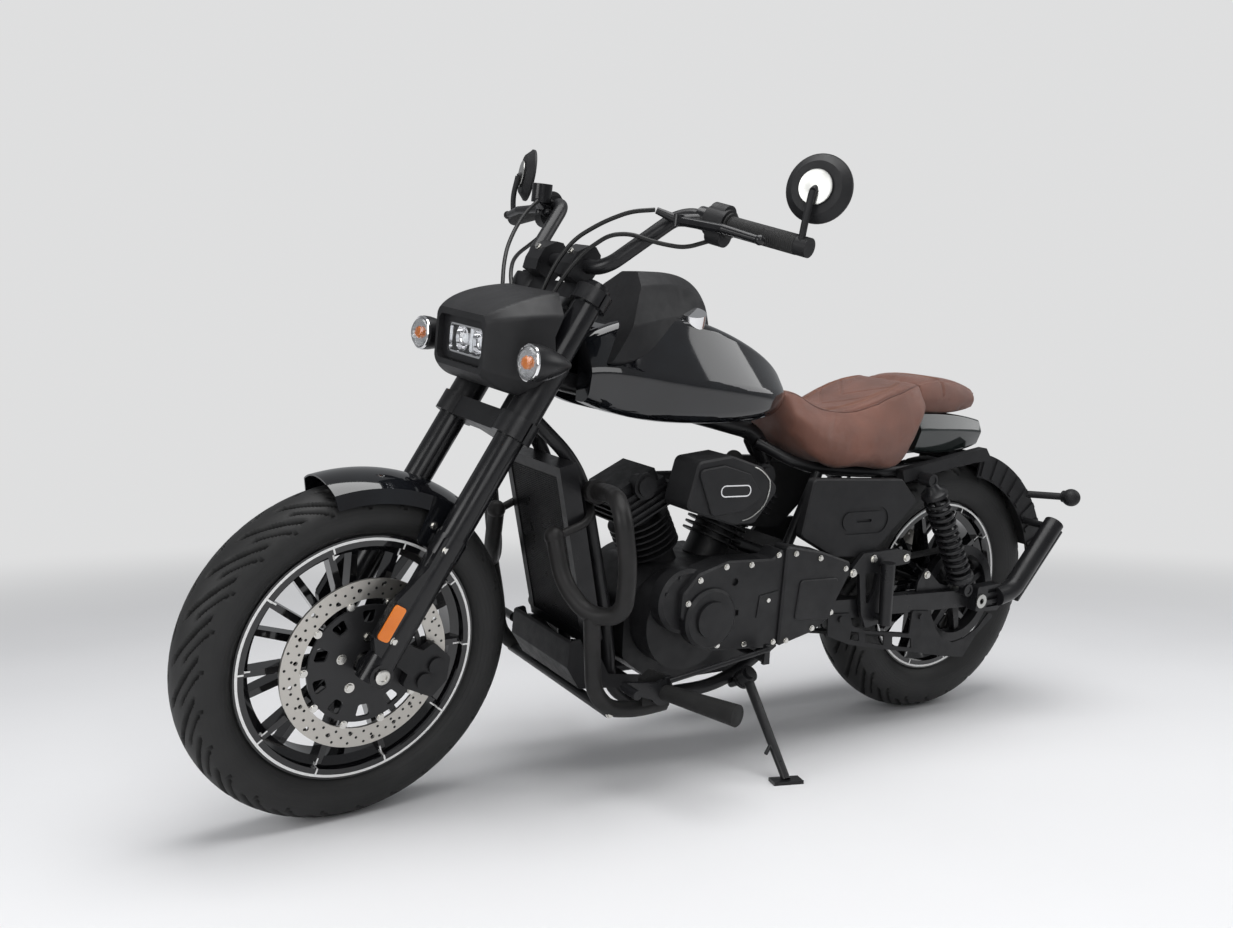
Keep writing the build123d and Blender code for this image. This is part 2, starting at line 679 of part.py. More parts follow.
@cache
def frame():
    """Steel frame: head tube, backbone, cradle, seat rails, pivot plates and tank posts."""
    low = LOWER_CLAMP + LOWER_CLAMP_HEIGHT + HEAD_GAP
    high = TOP_CLAMP - HEAD_GAP
    head = STEM * Pos(0, 0, low) * Cylinder(HEAD_TUBE_RADIUS, high - low, align=UPRIGHT)
    bore = STEM * Pos(0, 0, low) * Cylinder(STEM_RADIUS + SHAFT_GAP, high - low, align=UPRIGHT)
    backbone_root = (STEM * Pos(0, 0, 615)).position
    cradle_root = (STEM * Pos(-16, 18, 540)).position
    backbone = bent_tube(
        [backbone_root, (tank_x(0.917), 0, 800), (820, 0, 760), (600, 0, 712), (560, 0, 650)], BACKBONE_RADIUS
    )
    cradle = bent_tube(
        [cradle_root, (1078, 66, 650), (1002, 88, 330), (985, 90, 172), (700, 90, 172), (560, 84, 250)],
        CRADLE_RADIUS,
    )
    rail = bent_tube([(600, 12, 690), (520, 80, 645), (330, 100, 630), (60, 100, 648), (-14, 90, 655)], RAIL_RADIUS)
    brace = rod((480, 88, 634), (560, 82, 430), RAIL_RADIUS - 1)
    x, z = PIVOT.X, PIVOT.Z
    pivot_plate = plate([
        (x - 40, z - 90), (x + 55, z - 100), (x + 59, z + 80), (x + 35, z + 130),
        (x - 25, z + 130), (x - 130, z + 98), (x - 130, z + 66), (x - 45, z + 56),
    ], 74, CASE_HALF, 10)
    shape = backbone + head + both_sides(cradle + rail + brace + pivot_plate)
    shape += cross_pin(x + 15, z + 100, 14, -84, 84)
    shape += cross_pin(62, 664, 9, -96, 96)
    shape += both_sides(tank_and_panel_seats())
    shape -= cross_pin(x, z, PIVOT_RADIUS + FIT, -130, 130)
    return shape - bore


def tank_and_panel_seats():
    """The left half of the frame's bosses: tank, panel, tail, shock, radiator and peg seats."""
    pieces = []
    for x, root in ((ROOF_BACK.X + 62, 725), (ROOF_FRONT.X - 36, 790)):
        post = [(x, root), (x + 34, root), (x + 34, post_top(x + 34)), (x, post_top(x))]
        pieces.append(plate(post, 0, 16))
    pieces.append(plate([(54, 664), (70, 664), (70, 676.4), (54, 676)], 30, 60))
    pieces.append(cross_pin(520, 529, 8, 86, PANEL_INSIDE - SEAT_GAP))
    pieces.append(cross_pin(300, 614, 8, 95, PANEL_INSIDE - SEAT_GAP))
    pieces.append(cross_pin(PIVOT.X - 114, PIVOT.Z + 84, 10, 80, PEG_PLATE - SEAT_GAP))
    pieces.append(cross_pin(SHOCK_TOP.X, SHOCK_TOP.Z, 11, 96, ARM_INSIDE + 0.7))
    pieces.append(rod((1076, 67, 640), (1112, 67, 640), 8))
    pieces.append(rod((1004, 88, 345), (1040, 88, 345), 8))
    return pieces[0] + pieces[1:]


@cache
def crankcase():
    """The engine's lower half with its clutch and alternator bulges."""
    profile = [(560, 250), (620, 200), (880, 200), (960, 260), (965, 380), (900, 440), (700, 450), (612, 420)]
    body = plate(profile, -CASE_HALF, CASE_HALF, 22)
    left = cross_pin(850, 345, 100, CASE_HALF, BULGE_OUTSIDE)
    right = cross_pin(820, 340, 105, -BULGE_OUTSIDE, -CASE_HALF)
    belly = plate([(650, 292), (760, 300), (760, 440), (650, 440)], CASE_HALF, PULLEY_INSIDE - 1)
    bolt = cross_pin(935, 318, 9, CASE_HALF, CASE_HALF + 24)
    return body + left + right + belly + bolt - frame()


class Barrel(NamedTuple):
    """Foot and lean of one engine cylinder."""

    foot: tuple
    lean: float


BARRELS = (Barrel((850, 0, 455), 28.0), Barrel((700, 0, 462), -24.0))
FIN_PITCH = 14.0


def top_end(barrel):
    """One finned barrel with its finned head, rocker cover and plug."""
    stand = Location(barrel.foot, (0, barrel.lean, 0))
    core = stand * Pos(0, 0, -34) * Cylinder(46, 144, align=UPRIGHT)
    head = stand * Pos(0, 0, 108) * Box(110, 140, 62, align=UPRIGHT)
    fins = [stand * Pos(0, 0, FIN_PITCH * (index + 1)) * Cylinder(66, 4, align=UPRIGHT) for index in range(6)]
    fins += [stand * Pos(0, 0, 112 + FIN_PITCH * index) * Box(124, 154, 4, align=UPRIGHT) for index in range(4)]
    cover = stand * Pos(0, 0, 168) * Box(92, 118, 24, align=UPRIGHT)
    cap = stand * Pos(0, 0, 180) * rod((0, 50, 0), (0, 92, 0), 20)
    ring_cap = stand * Pos(0, 0, 180) * rod((0, 76, 0), (0, 86, 0), 27)
    return core + fins + head + cover + cap + ring_cap


@cache
def cylinders():
    """Two finned barrels with their heads in a V."""
    return top_end(BARRELS[0]) + top_end(BARRELS[1]) - crankcase()


PRIMARY_OUTLINE = [
    (905, 375), (905, 420), (870, 460), (798, 481), (684, 478), (652, 505),
    (650, 289), (669, 287), (819, 297), (881, 339),
]
BELT_OUTLINE = [
    (656, 505), (557, 487), (471, 459), (471, 429), (502, 373), (508, 343), (561, 312), (656, 290),
]


@cache
def primary_cover():
    """The front half of the drive cover on the left, with its stepped round nose."""
    skirt = COVER_FACE - 12
    body = bevelled(PRIMARY_OUTLINE, BULGE_OUTSIDE, skirt, 12, 4)
    nose = rod((837, skirt - 20, 367), (837, COVER_FACE - 8, 367), 62)
    nose += rod((837, COVER_FACE - 8, 367), (837, COVER_FACE - 3, 367), 62, 56)
    cap = cross_pin(837, 367, 37, COVER_FACE - 3, COVER_FACE + 3)
    relief = plate([(713, 403), (664, 410), (664, 361), (717, 357)], skirt, skirt + 2)
    plug = cross_pin(780, 437, 8, skirt - 6, skirt)
    socket = plate([(764, 366), (776, 366), (776, 378), (764, 378)], skirt - 6, COVER_FACE)
    return body + nose + cap + relief - plug - socket


@cache
def belt_cover():
    """The rear half of the drive cover, over the front pulley."""
    skirt = COVER_FACE - 4
    body = bevelled(BELT_OUTLINE, COVER_INSIDE, skirt, 8, 4)
    relief = bevelled([(613, 430), (504, 428), (520, 338), (620, 344)], skirt, COVER_FACE, 10, 2)
    return body + relief - primary_cover()


@cache
def case_cover():
    """The round alternator cover ahead of the drive cover."""
    drum = cross_pin(882, 400, 66, BULGE_OUTSIDE, 180) + rod((882, 180, 400), (882, 186, 400), 66, 58)
    return drum - primary_cover()


@cache
def intake_cover():
    """The D-shaped air box between the cylinders, its throttle body and the manifold."""
    body = bevelled([
        (887, 680), (806, 691), (726, 667), (678, 621), (734, 551), (789, 550), (908, 586),
    ], 110, 190, 16, 4)
    raised = bevelled([(898 - 8, 664), (825, 673), (760, 655), (722, 606), (766, 580), (847, 571)], 190, 196, 12, 2)
    throttle = cross_pin(775, 620, 27, 0, 110)
    manifold = rod((700, 0, 606), (860, 0, 606), 22)
    return body + raised + throttle + manifold - cylinders()


@cache
def radiator():
    """The radiator: a core set back between its side tanks and its top and bottom rails."""
    body = plate([(1064, 308), (1152, 660), (1116, 669), (1028, 317)], -RADIATOR_HALF, RADIATOR_HALF)
    face = plate([(1070.8, 326.9), (1149.1, 640.1), (1141.4, 642.1), (1063.1, 328.9)], -96, 96)
    return body - face - frame()


@cache
def radiator_shroud():
    """The chin fairing under the radiator."""
    outer = [
        (1044, 305), (1072, 300), (1080, 324), (1104, 320), (1106, 268), (1076, 222),
        (926, 208), (926, 232), (1010, 244),
    ]
    inner = [(1036, 320), (1098, 340), (1100, 270), (1072, 228), (920, 214), (920, 248), (1004, 254)]
    half = RADIATOR_HALF + 4
    return plate(outer, -half, half, 6) - plate(inner, -RADIATOR_HALF, RADIATOR_HALF) - frame() - radiator()


@cache
def exhaust():
    """Two header pipes into one silencer low on the right."""
    front = bent_tube([
        (925, -70, 580), (985, -104, 560), (1012, -140, 430), (990, -160, 270), (900, -176, 226), (640, -206, 224),
    ], 20)
    rear = bent_tube([(590, -70, 640), (560, -130, 600), (556, -196, 480), (540, -206, 250)], 20)
    silencer = rod((640, -212, 222), (-80, -226, 262), 48)
    mouth = rod((-40, -225.2, 259.8), (-84, -226.1, 262.2), 34)
    return front + rear + silencer - mouth - cylinders()


# Bodywork

TANK_SECTIONS = (
    (1.006, [(86, 778), (96, 840), (58, 902)]),
    (0.837, [(112, 754), (130, 840), (70, 940)]),
    (0.598, [(128, 744), (146, 826), (74, 952)]),
    (0.359, [(128, 746), (142, 816), (66, 930)]),
    (0.139, [(108, 754), (118, 806), (50, 890)]),
    (0.0, [(56, 776), (66, 806), (30, 850)]),
)
CONSOLE_SECTIONS = (
    (1.04, [(112, 872), (120, 930), (88, 986), (36, 1004)]),
    (0.861, [(118, 858), (118, 930), (78, 1000), (32, 1026)]),
    (0.638, [(90, 896), (80, 950), (54, 1012), (24, 1036)]),
    (0.498, [(60, 912), (56, 950), (40, 1004), (16, 1026)]),
    (0.383, [(30, 906), (28, 936), (18, 962), (8, 980)]),
)
ROOF_FRONT = Vector(tank_x(0.817), 0, 836)
ROOF_BACK = Vector(TANK_TAIL - 20, 0, 770)


def tunnel(nose):
    """The tunnel below the tank, open in front up to the height of its nose."""
    front = tank_x(1.07)
    outline = [
        (front, 700), (front, nose), (tank_x(0.917), nose), (ROOF_FRONT.X, ROOF_FRONT.Z),
        (ROOF_BACK.X, ROOF_BACK.Z), (ROOF_BACK.X, 700),
    ]
    return plate(outline, -TUNNEL_HALF, TUNNEL_HALF)


def post_top(x):
    """The height of a tank post just under the tunnel's sloping roof."""
    slope = (ROOF_FRONT.Z - ROOF_BACK.Z) / (ROOF_FRONT.X - ROOF_BACK.X)
    return ROOF_BACK.Z + (x - ROOF_BACK.X) * slope - SEAT_GAP


@cache
def fuel_tank():
    """The tank: a long drop shape over the backbone, with a tunnel below."""
    shell = hull_through([(tank_x(share), rows) for share, rows in TANK_SECTIONS], 30)
    return shell - tunnel(920)


@cache
def tank_console():
    """The matt cowl that rides on the tank, cut back in front for the fork clamp."""
    body = hull_through([(tank_x(share), rows) for share, rows in CONSOLE_SECTIONS], 12) - fuel_tank()
    ahead = (Align.MIN, Align.CENTER, Align.MIN)
    swing = STEM * Pos(-44, 0, 500) * Box(300, 172, 600, align=ahead)
    wide = STEM * Pos(-62, 0, 500) * Box(300, 400, 600, align=ahead)
    return body - swing - wide - tunnel(950)


@cache
def fuel_cap():
    """The round filler cap on the left of the tank's ridge."""
    return rod((837, 56, 935), (842, 66, 962), 27) - fuel_tank() - tank_console()


SEAT_SECTIONS = (
    (566, [(70, 716), (84, 746), (44, 792)]),
    (500, [(124, 656), (134, 716), (70, 790)]),
    (430, [(142, 648), (152, 704), (96, 772)]),
    (340, [(146, 646), (158, 716), (118, 800)]),
    (262, [(128, 650), (154, 730), (120, 828)]),
    (225, [(118, 690), (148, 760), (112, 838)]),
    (196, [(104, 742), (130, 790), (98, 842)]),
)
PAD_SECTIONS = (
    (192, [(92, 770), (104, 800), (90, 838)]),
    (60, [(92, 766), (104, 800), (90, 846)]),
    (-14, [(84, 778), (94, 802), (82, 826)]),
)
TAIL_SECTIONS = (
    (190, [(96, 680), (112, 730), (90, 768)]),
    (40, [(96, 676), (108, 730), (90, 764)]),
    (-40, [(84, 690), (96, 724), (84, 752)]),
)


@cache
def rider_seat():
    """The rider's saddle, a plain padded form."""
    return hull_through(SEAT_SECTIONS, 16) - fuel_tank() - frame()


@cache
def pillion_seat():
    """The passenger's pad behind the saddle."""
    return hull_through(PAD_SECTIONS, 10) - rider_seat()


@cache
def tail_cover():
    """The painted tail under the pad."""
    return hull_through(TAIL_SECTIONS, 10) - pillion_seat() - rider_seat() - frame()


@cache
def tail_strut():
    """The matt fender strut covers below the tail on both sides."""
    outline = [(250, 612), (262, 640), (-20, 690), (-46, 660), (60, 650)]
    return both_sides(plate(outline, 111, 134, 4)) - tail_cover() - rider_seat() - frame()


@cache
def side_panels():
    """Both side panels, each with a long round-ended relief and a slot."""
    outline = [(560, 634), (292, 627), (235, 575), (370, 451), (482, 459), (581, 509)]
    panel = bevelled(outline, PANEL_INSIDE, PANEL_FACE, 12, 3)
    panel -= stadium(400, 537, 148, 60, PANEL_FACE - 2.5, PANEL_FACE)
    panel += stadium(400, 537, 128, 40, PANEL_FACE - 3, PANEL_FACE)
    panel -= stadium(400, 537, 46, 7, PANEL_FACE - 4, PANEL_FACE)
    return both_sides(panel) - exhaust()


# Rear suspension


@cache
def swingarm():
    """The swingarm: two box arms, a cross tube, shock plates and the axle plates."""
    front = PIVOT.X + 26
    low = PIVOT.Z - 22
    high = PIVOT.Z + 22
    tail = REAR_AXLE.position.X
    axle_z = REAR_AXLE.position.Z
    arm = plate([
        (front, low), (front, high), (tail - 20, axle_z + 21), (tail - 44, axle_z + 13),
        (tail - 44, axle_z - 13), (tail - 20, axle_z - 21),
    ], ARM_INSIDE, ARM_OUTSIDE, 10)
    fin = plate([
        (tail + 58, axle_z), (tail + 184, axle_z), (tail + 180, axle_z + 50), (tail + 158, axle_z + 84),
        (tail + 104, axle_z + 40), (tail + 66, axle_z + 30),
    ], ARM_INSIDE + 4, ARM_INSIDE + 10, 6)
    neck = plate([(front, low), (front, high), (400, high - 5), (400, low - 5)], 102, ARM_INSIDE)
    lugs = cross_pin(441, 316, 13, ARM_INSIDE + 6, ARM_OUTSIDE)
    lugs += cross_pin(tail + 181, axle_z - 28, 16, ARM_INSIDE + 6, ARM_OUTSIDE)
    tube = cross_pin(420, PIVOT.Z - 2, 20, -ARM_INSIDE, ARM_INSIDE)
    pivot = cross_pin(PIVOT.X, PIVOT.Z, PIVOT_RADIUS, -128, 128)
    cap = cross_pin(PIVOT.X, PIVOT.Z, 17, 126, ARM_INSIDE + 4)
    shape = both_sides(arm + fin + neck + cap) + lugs + tube + pivot
    return shape - REAR_AXLE * cross_pin(0, 0, REAR.axle_radius + FIT, -170, 170)


@cache
def rear_axle():
    """The hollow rear axle with collars beside the hub and nuts outside."""
    axle = cross_pin(0, 0, REAR.axle_radius, -REAR_AXLE_REACH, REAR_AXLE_REACH)
    collar = cross_pin(0, 0, REAR.axle_radius + 6, REAR.hub_half_width + 0.5, ARM_INSIDE - SHAFT_GAP)
    nut = cross_pin(0, 0, REAR.axle_radius + 4, BLOCK_FACE + FIT, REAR_AXLE_REACH)
    axle += both_sides(collar + nut)
    return REAR_AXLE * (axle - cross_pin(0, 0, AXLE_BORE_RADIUS, -REAR_AXLE_REACH, REAR_AXLE_REACH))


SPRING_COILS = 11


@cache
def rear_shocks():
    """Both rear shocks: eyes, damper, spring coils and end collars."""
    run = SHOCK_TOP - SHOCK_FOOT
    direction = run.normalized()
    pitch = (run.length - 84) / SPRING_COILS
    damper = rod(SHOCK_FOOT + direction * 10, SHOCK_TOP - direction * 10, 15)
    pieces = [
        cross_pin(SHOCK_TOP.X, SHOCK_TOP.Z, 15, ARM_INSIDE + 1, 172),
        cross_pin(SHOCK_FOOT.X, SHOCK_FOOT.Z, 15, ARM_OUTSIDE + SEAT_GAP, 182),
        rod(SHOCK_FOOT + direction * 22, SHOCK_FOOT + direction * 42, 24, 31),
        rod(SHOCK_TOP - direction * 42, SHOCK_TOP - direction * 20, 31, 22),
    ]
    for index in range(SPRING_COILS):
        start = SHOCK_FOOT + direction * (44 + pitch * index)
        pieces.append(rod(start, start + direction * pitch * 0.5, 30, 26))
    return both_sides(damper + pieces) - swingarm() - frame()


HUGGER_START = 165.0
HUGGER_SWEEP = 66.0
HUGGER_INNER = REAR.tyre_radius + 17
HUGGER_OUTER = REAR.tyre_radius + 25
CHEEK_RADIUS = REAR.tyre_radius - 35
CHEEK_INSIDE = 93.0
CHEEK_OUTSIDE = 97.0
HUGGER_RIBS = 8


def arc_piece(inner, outer, inside, outside, start, sweep_angle):
    """A curved bar around the rear axle: a radius and y box turned through an angle."""
    box = Polyline((inner, inside), (outer, inside), (outer, outside), (inner, outside), close=True)
    return REAR_AXLE * Rot(0, -start, 0) * revolve(make_face(box), Axis.Y, revolution_arc=sweep_angle)


@cache
def rear_hugger():
    """The mudguard behind the rear tyre with ribbed side cheeks."""
    guard = arc_piece(HUGGER_INNER, HUGGER_OUTER, -CHEEK_OUTSIDE, CHEEK_OUTSIDE, HUGGER_START, HUGGER_SWEEP)
    cheek = arc_piece(CHEEK_RADIUS, HUGGER_OUTER, CHEEK_INSIDE, CHEEK_OUTSIDE, HUGGER_START, HUGGER_SWEEP)
    ribs = []
    for index in range(HUGGER_RIBS):
        start = HUGGER_START - 4 - index * HUGGER_SWEEP / HUGGER_RIBS
        ribs.append(arc_piece(CHEEK_RADIUS + 4, HUGGER_OUTER - 2, CHEEK_OUTSIDE, CHEEK_OUTSIDE + 4, start, 2.5))
    return guard + both_sides(cheek + ribs)


@cache
def hugger_bracket():
    """The ribbed blocks at the axle ends and the tubes from them back to the mudguard."""
    block = plate([(14, -25), (-66, -29), (-80, -15), (-80, 27), (-66, 39), (14, 35)], ARM_OUTSIDE, BLOCK_FACE, 5)
    for height in (-13, 5, 23):
        block -= plate([(-64, height - 4), (-24, height - 5), (-24, height + 5), (-64, height + 4)],
                       BLOCK_FACE - 6, BLOCK_FACE)
    block -= cross_pin(0, 0, REAR.axle_radius + FIT, 100, 220)
    tube = bent_tube([(-62, 186, 6), (-112, 189, 18), (-262, 178, 178)], 24)
    slim = rod((-133, 188, -6), (-285, 178, 156), 10)
    spacer = cross_pin(-252, 167, 9, CHEEK_OUTSIDE, 165)
    held = both_sides(REAR_AXLE * (block + tube + slim + spacer))
    return held - rear_hugger() - rear_axle() - swingarm()


@cache
def rear_lamps():
    """Ball-shaped rear signals on stalks from the mudguard."""
    ball = Pos(-284, 200, 247) * Sphere(22)
    collar = rod((-283, 178, 246), (-284, 190, 247), 15)
    stalk = rod((-252, 92, 236), (-283, 184, 246), 9)
    return both_sides(REAR_AXLE * (ball + collar + stalk)) - rear_hugger()


GUARD_OUTLINE = [
    (480, 331), (413, 327), (400, 296), (358, 281), (212, 258), (210, 313), (151, 308), (130, 270),
    (93, 233), (55, 220), (15, 226), (-33, 250), (-66, 284), (-86, 274), (-27, 229), (11, 178),
    (90, 190), (194, 212), (293, 230), (404, 253), (474, 280),
]
GUARD_WINDOWS = (
    [(404, 284), (378, 279), (374, 258), (404, 264)],
    [(358, 274), (296, 264), (293, 239), (354, 253)],
    [(268, 258), (204, 247), (199, 222), (264, 234)],
)


@cache
def belt_guard():
    """The guard below the belt's lower run, with windows and a curved rear arm."""
    body = plate(GUARD_OUTLINE, ARM_OUTSIDE + FIT, ARM_OUTSIDE + 4, 5)
    for window in GUARD_WINDOWS:
        body -= plate(window, ARM_OUTSIDE, ARM_OUTSIDE + 6, 3)
    bolts = cross_pin(441, 316, 7, ARM_OUTSIDE + 4, ARM_OUTSIDE + 9)
    bolts += cross_pin(181, 297, 7, ARM_OUTSIDE + 4, ARM_OUTSIDE + 9)
    return body + bolts - hugger_bracket()


# Drive


@cache
def drive_belt():
    """The toothed belt around both pulleys, as a plain band."""
    low = PULLEY_INSIDE + 1
    high = PULLEY_INSIDE + PULLEY_WIDTH - 1
    inner = PULLEY_RADIUS + 0.4
    run = FRONT_PULLEY - REAR_AXLE.position
    span = math.hypot(run.X, run.Z)
    rear_outer = Circle(inner + BELT_THICKNESS)
    front_outer = Pos(span, 0) * Circle(FRONT_PULLEY_RADIUS + BELT_THICKNESS)
    outer_face = make_hull((rear_outer + front_outer).edges())
    inner_face = make_hull((Circle(inner) + Pos(span, 0) * Circle(FRONT_PULLEY_RADIUS)).edges())
    band = extrude(Plane.XZ.offset(-high) * (outer_face - inner_face), amount=high - low)
    return REAR_AXLE * Rot(0, -math.degrees(math.atan2(run.Z, run.X)), 0) * band


@cache
def front_pulley():
    """The small pulley on the gearbox shaft behind the drive cover."""
    outside = PULLEY_INSIDE + PULLEY_WIDTH
    shaft = cross_pin(FRONT_PULLEY.X, FRONT_PULLEY.Z, 16, CASE_HALF - 2, outside + 6)
    wheel = cross_pin(FRONT_PULLEY.X, FRONT_PULLEY.Z, FRONT_PULLEY_RADIUS - 0.4, PULLEY_INSIDE, outside)
    return shaft + wheel - crankcase()


# Guards, pegs and stand


@cache
def crash_bar():
    """The thick engine guard: a loop at each side, its lower tube, stay and clamp."""
    loop = bent_tube([
        (1062, 72, 607), (1072, 170, 622), (1112, 272, 622), (1090, 278, 500), (1084, 262, 412),
        (1122, 205, 400), (1148, 150, 450), (1158, 122, 535),
    ], GUARD_RADIUS)
    lower = bent_tube([
        (1118, 211, 402), (1103, 200, 319), (1094, 200, 249), (1059, 200, 210), (993, 200, 200), (930, 200, 205),
    ], GUARD_RADIUS - 1)
    stay = bent_tube([(1158, 122, 530), (1082, 130, 562), (1060, 76, 590)], 8)
    clamp = rod((1066, 102, 611), (1068, 120, 614), 24)
    link = rod((940, 200, 204), (930, 104, 176), CRADLE_RADIUS)
    knob = Pos(1158, 122, 533) * Sphere(GUARD_RADIUS + 2)
    side = loop + lower + stay + clamp + link + knob
    return both_sides(side) - frame() - radiator() - radiator_shroud()


@cache
def cross_rod():
    """The straight rod low across the front between the guards."""
    return rod((1058, -205, 203), (1058, 205, 203), 10) - crash_bar()


@cache
def footrests():
    """Forward pegs on both sides, with their mounts on the guard tubes."""
    mount = plate([(990, 200), (992, 262), (970, 278), (930, 262), (925, 200)], 196, COVER_FACE, 6)
    peg = rod((958, 205, 238), (900, 388, 244), 15, 21)
    return both_sides(mount + peg) - crash_bar()


@cache
def foot_controls():
    """Shift shaft, rod and lever on the left, brake lever on the right."""
    shaft = cross_pin(700, 272, 7, CASE_HALF - 4, 230)
    arm = plate([(692, 264), (708, 264), (706, 306), (694, 306)], 222, 230)
    link = rod((700, 234, 298), (946, 234, 262), 5)
    boss = cross_pin(957, 239, 25, 223, 232)
    horn = plate([(936, 240), (958, 240), (954, 270), (938, 270)], 223, 232)
    toe = plate([(957, 220), (957, 258), (1046, 271), (1052, 254)], 223, 232)
    toe += cross_pin(1046, 262, 9, 228, 276)
    lever = boss + horn + toe
    return shaft + arm + link + both_sides(lever) - footrests() - crankcase()


@cache
def peg_brackets():
    """The open passenger peg brackets behind the drive cover, the right one also a silencer hanger."""
    left = plate([
        (437, 431), (404, 466), (300, 470), (253, 461), (253, 434), (312, 430), (330, 400), (322, 300),
        (372, 292), (392, 330), (410, 420),
    ], PEG_PLATE, PEG_PLATE + 10, 6)
    left -= plate([(392, 420), (352, 420), (356, 380), (378, 340)], PEG_PLATE, PEG_PLATE + 10, 5)
    hanger = plate([(322, 300), (372, 292), (362, 240), (330, 240)], PEG_PLATE, PEG_PLATE + 10)
    return left + other_side(left + hanger) - exhaust()


@cache
def passenger_pegs():
    """Folded passenger pegs, each on its pin and against its stop."""
    peg = rod((345, 200, 446), (336, 202, 304), 16, 14)
    pin = cross_pin(342, 318, 8, PEG_PLATE + 10, 200)
    stop = cross_pin(345, 438, 6, PEG_PLATE + 10, 190)
    return both_sides(peg + pin + stop) - peg_brackets() - exhaust()


@cache
def rear_caliper():
    """The rear brake caliper on the right, held to the swingarm by a lug."""
    low = REAR.hub_half_width + 0.5 - DISC_GAP
    high = REAR.hub_half_width + 0.5 + DISC_THICKNESS + DISC_GAP
    body = plate([(60, 60), (118, 40), (150, 80), (110, 130), (60, 120)], low - 12, high + 26, 8)
    slot = cross_pin(0, 0, REAR_DISC_RADIUS + 6, low, high)
    lug = plate([(62, -8), (114, -8), (114, 70), (62, 70)], high + 22, ARM_INSIDE - SEAT_GAP)
    return other_side(REAR_AXLE * (body - slot + lug))


def lowest(piece):
    """The height of a piece's lowest point."""
    return piece.bounding_box().min.Z


def stance():
    """How the upright machine stands: leaned, level on both tyres, with the ground at z=0."""
    lean = Rot(-LEAN, 0, 0)
    drop = lowest(lean * STEER * front_tyre()) - lowest(lean * rear_tyre())
    leaned = Rot(0, math.degrees(math.atan2(drop, WHEELBASE)), 0) * lean
    return Pos(0, 0, -lowest(leaned * rear_tyre())) * leaned


def stand_axis():
    """The side stand's hinge line: turning about it folds the leg up and back."""
    down = (Vector(STAND_FOOT_X, STAND_FOOT_Y, 50) - STAND_PIVOT).normalized()
    return down.cross(STAND_FOLDED).normalized()


@cache
def side_stand():
    """The side stand: an eye on the frame's pin, a tapered leg, a tang and a flat foot."""
    ground = stance()
    foot = (ground * Pos(STAND_FOOT_X, STAND_FOOT_Y, 50)).position
    back = ground.inverse()
    pad = Pos(foot.X, foot.Y, 0) * Rot(0, 0, -20) * Box(62, 34, 7, align=UPRIGHT)
    ankle = (back * Pos(foot.X, foot.Y, 6)).position
    leg = rod(STAND_PIVOT, ankle, STAND_RADIUS + 2, STAND_RADIUS)
    axis = stand_axis()
    eye = rod(STAND_PIVOT - axis * STAND_EYE, STAND_PIVOT + axis * STAND_EYE, 19)
    along = (ankle - STAND_PIVOT).normalized()
    tang_root = STAND_PIVOT + along * 150
    tang = rod(tang_root, tang_root + Vector(26, 14, -14), 4)
    bore = rod(STAND_PIVOT - axis * 40, STAND_PIVOT + axis * 40, STAND_PIN + SHAFT_GAP)
    return leg + eye + tang + back * pad - bore


@cache
def stand_bracket():
    """The lug on the lower frame tube with the pin that the stand turns on."""
    axis = stand_axis()
    low = STAND_PIVOT - axis * (STAND_EYE + 8.4)
    pin = rod(low, STAND_PIVOT + axis * (STAND_EYE + 5), STAND_PIN)
    head = rod(STAND_PIVOT + axis * (STAND_EYE + 0.4), STAND_PIVOT + axis * (STAND_EYE + 6), STAND_PIN + 5)
    lug = rod(low, low + axis * 8, 20)
    arm = rod(low + axis * 4, (low.X - 10, 94, 172), 9)
    return pin + head + lug + arm - frame()


# The whole machine

FRAME_NODES = {
    "frame": frame, "crankcase": crankcase, "cylinders": cylinders, "primary_cover": primary_cover,
    "belt_cover": belt_cover, "case_cover": case_cover, "intake_cover": intake_cover,
    "radiator": radiator, "radiator_shroud": radiator_shroud, "exhaust": exhaust,
    "fuel_tank": fuel_tank, "tank_console": tank_console, "fuel_cap": fuel_cap,
    "rider_seat": rider_seat, "pillion_seat": pillion_seat, "tail_cover": tail_cover,
    "tail_strut": tail_strut, "side_panels": side_panels, "swingarm": swingarm,
    "rear_axle": rear_axle, "rear_shocks": rear_shocks, "rear_hugger": rear_hugger,
    "hugger_bracket": hugger_bracket, "rear_lamps": rear_lamps, "belt_guard": belt_guard,
    "drive_belt": drive_belt, "front_pulley": front_pulley, "crash_bar": crash_bar,
    "cross_rod": cross_rod, "footrests": footrests, "foot_controls": foot_controls,
    "peg_brackets": peg_brackets, "passenger_pegs": passenger_pegs, "rear_caliper": rear_caliper,
    "stand_bracket": stand_bracket, "side_stand": side_stand, "rear_tyre": rear_tyre,
    "rear_rim": rear_rim, "rear_disc": rear_disc, "rear_pulley": rear_pulley,
}
STEERED_NODES = {
    "fork_sliders": fork_sliders, "fork_tubes": fork_tubes, "fork_covers": fork_covers,
    "fork_clamps": fork_clamps, "front_axle": front_axle, "front_fender": front_fender,
    "headlight_cowl": headlight_cowl, "headlight_lamp": headlight_lamp, "front_signals": front_signals,
    "handlebar": handlebar, "bar_risers": bar_risers, "grips": grips, "control_pods": control_pods,
    "levers": levers, "mirrors": mirrors, "front_caliper": front_caliper, "control_cables": control_cables,
    "front_tyre": front_tyre, "front_rim": front_rim, "front_disc": front_disc,
}


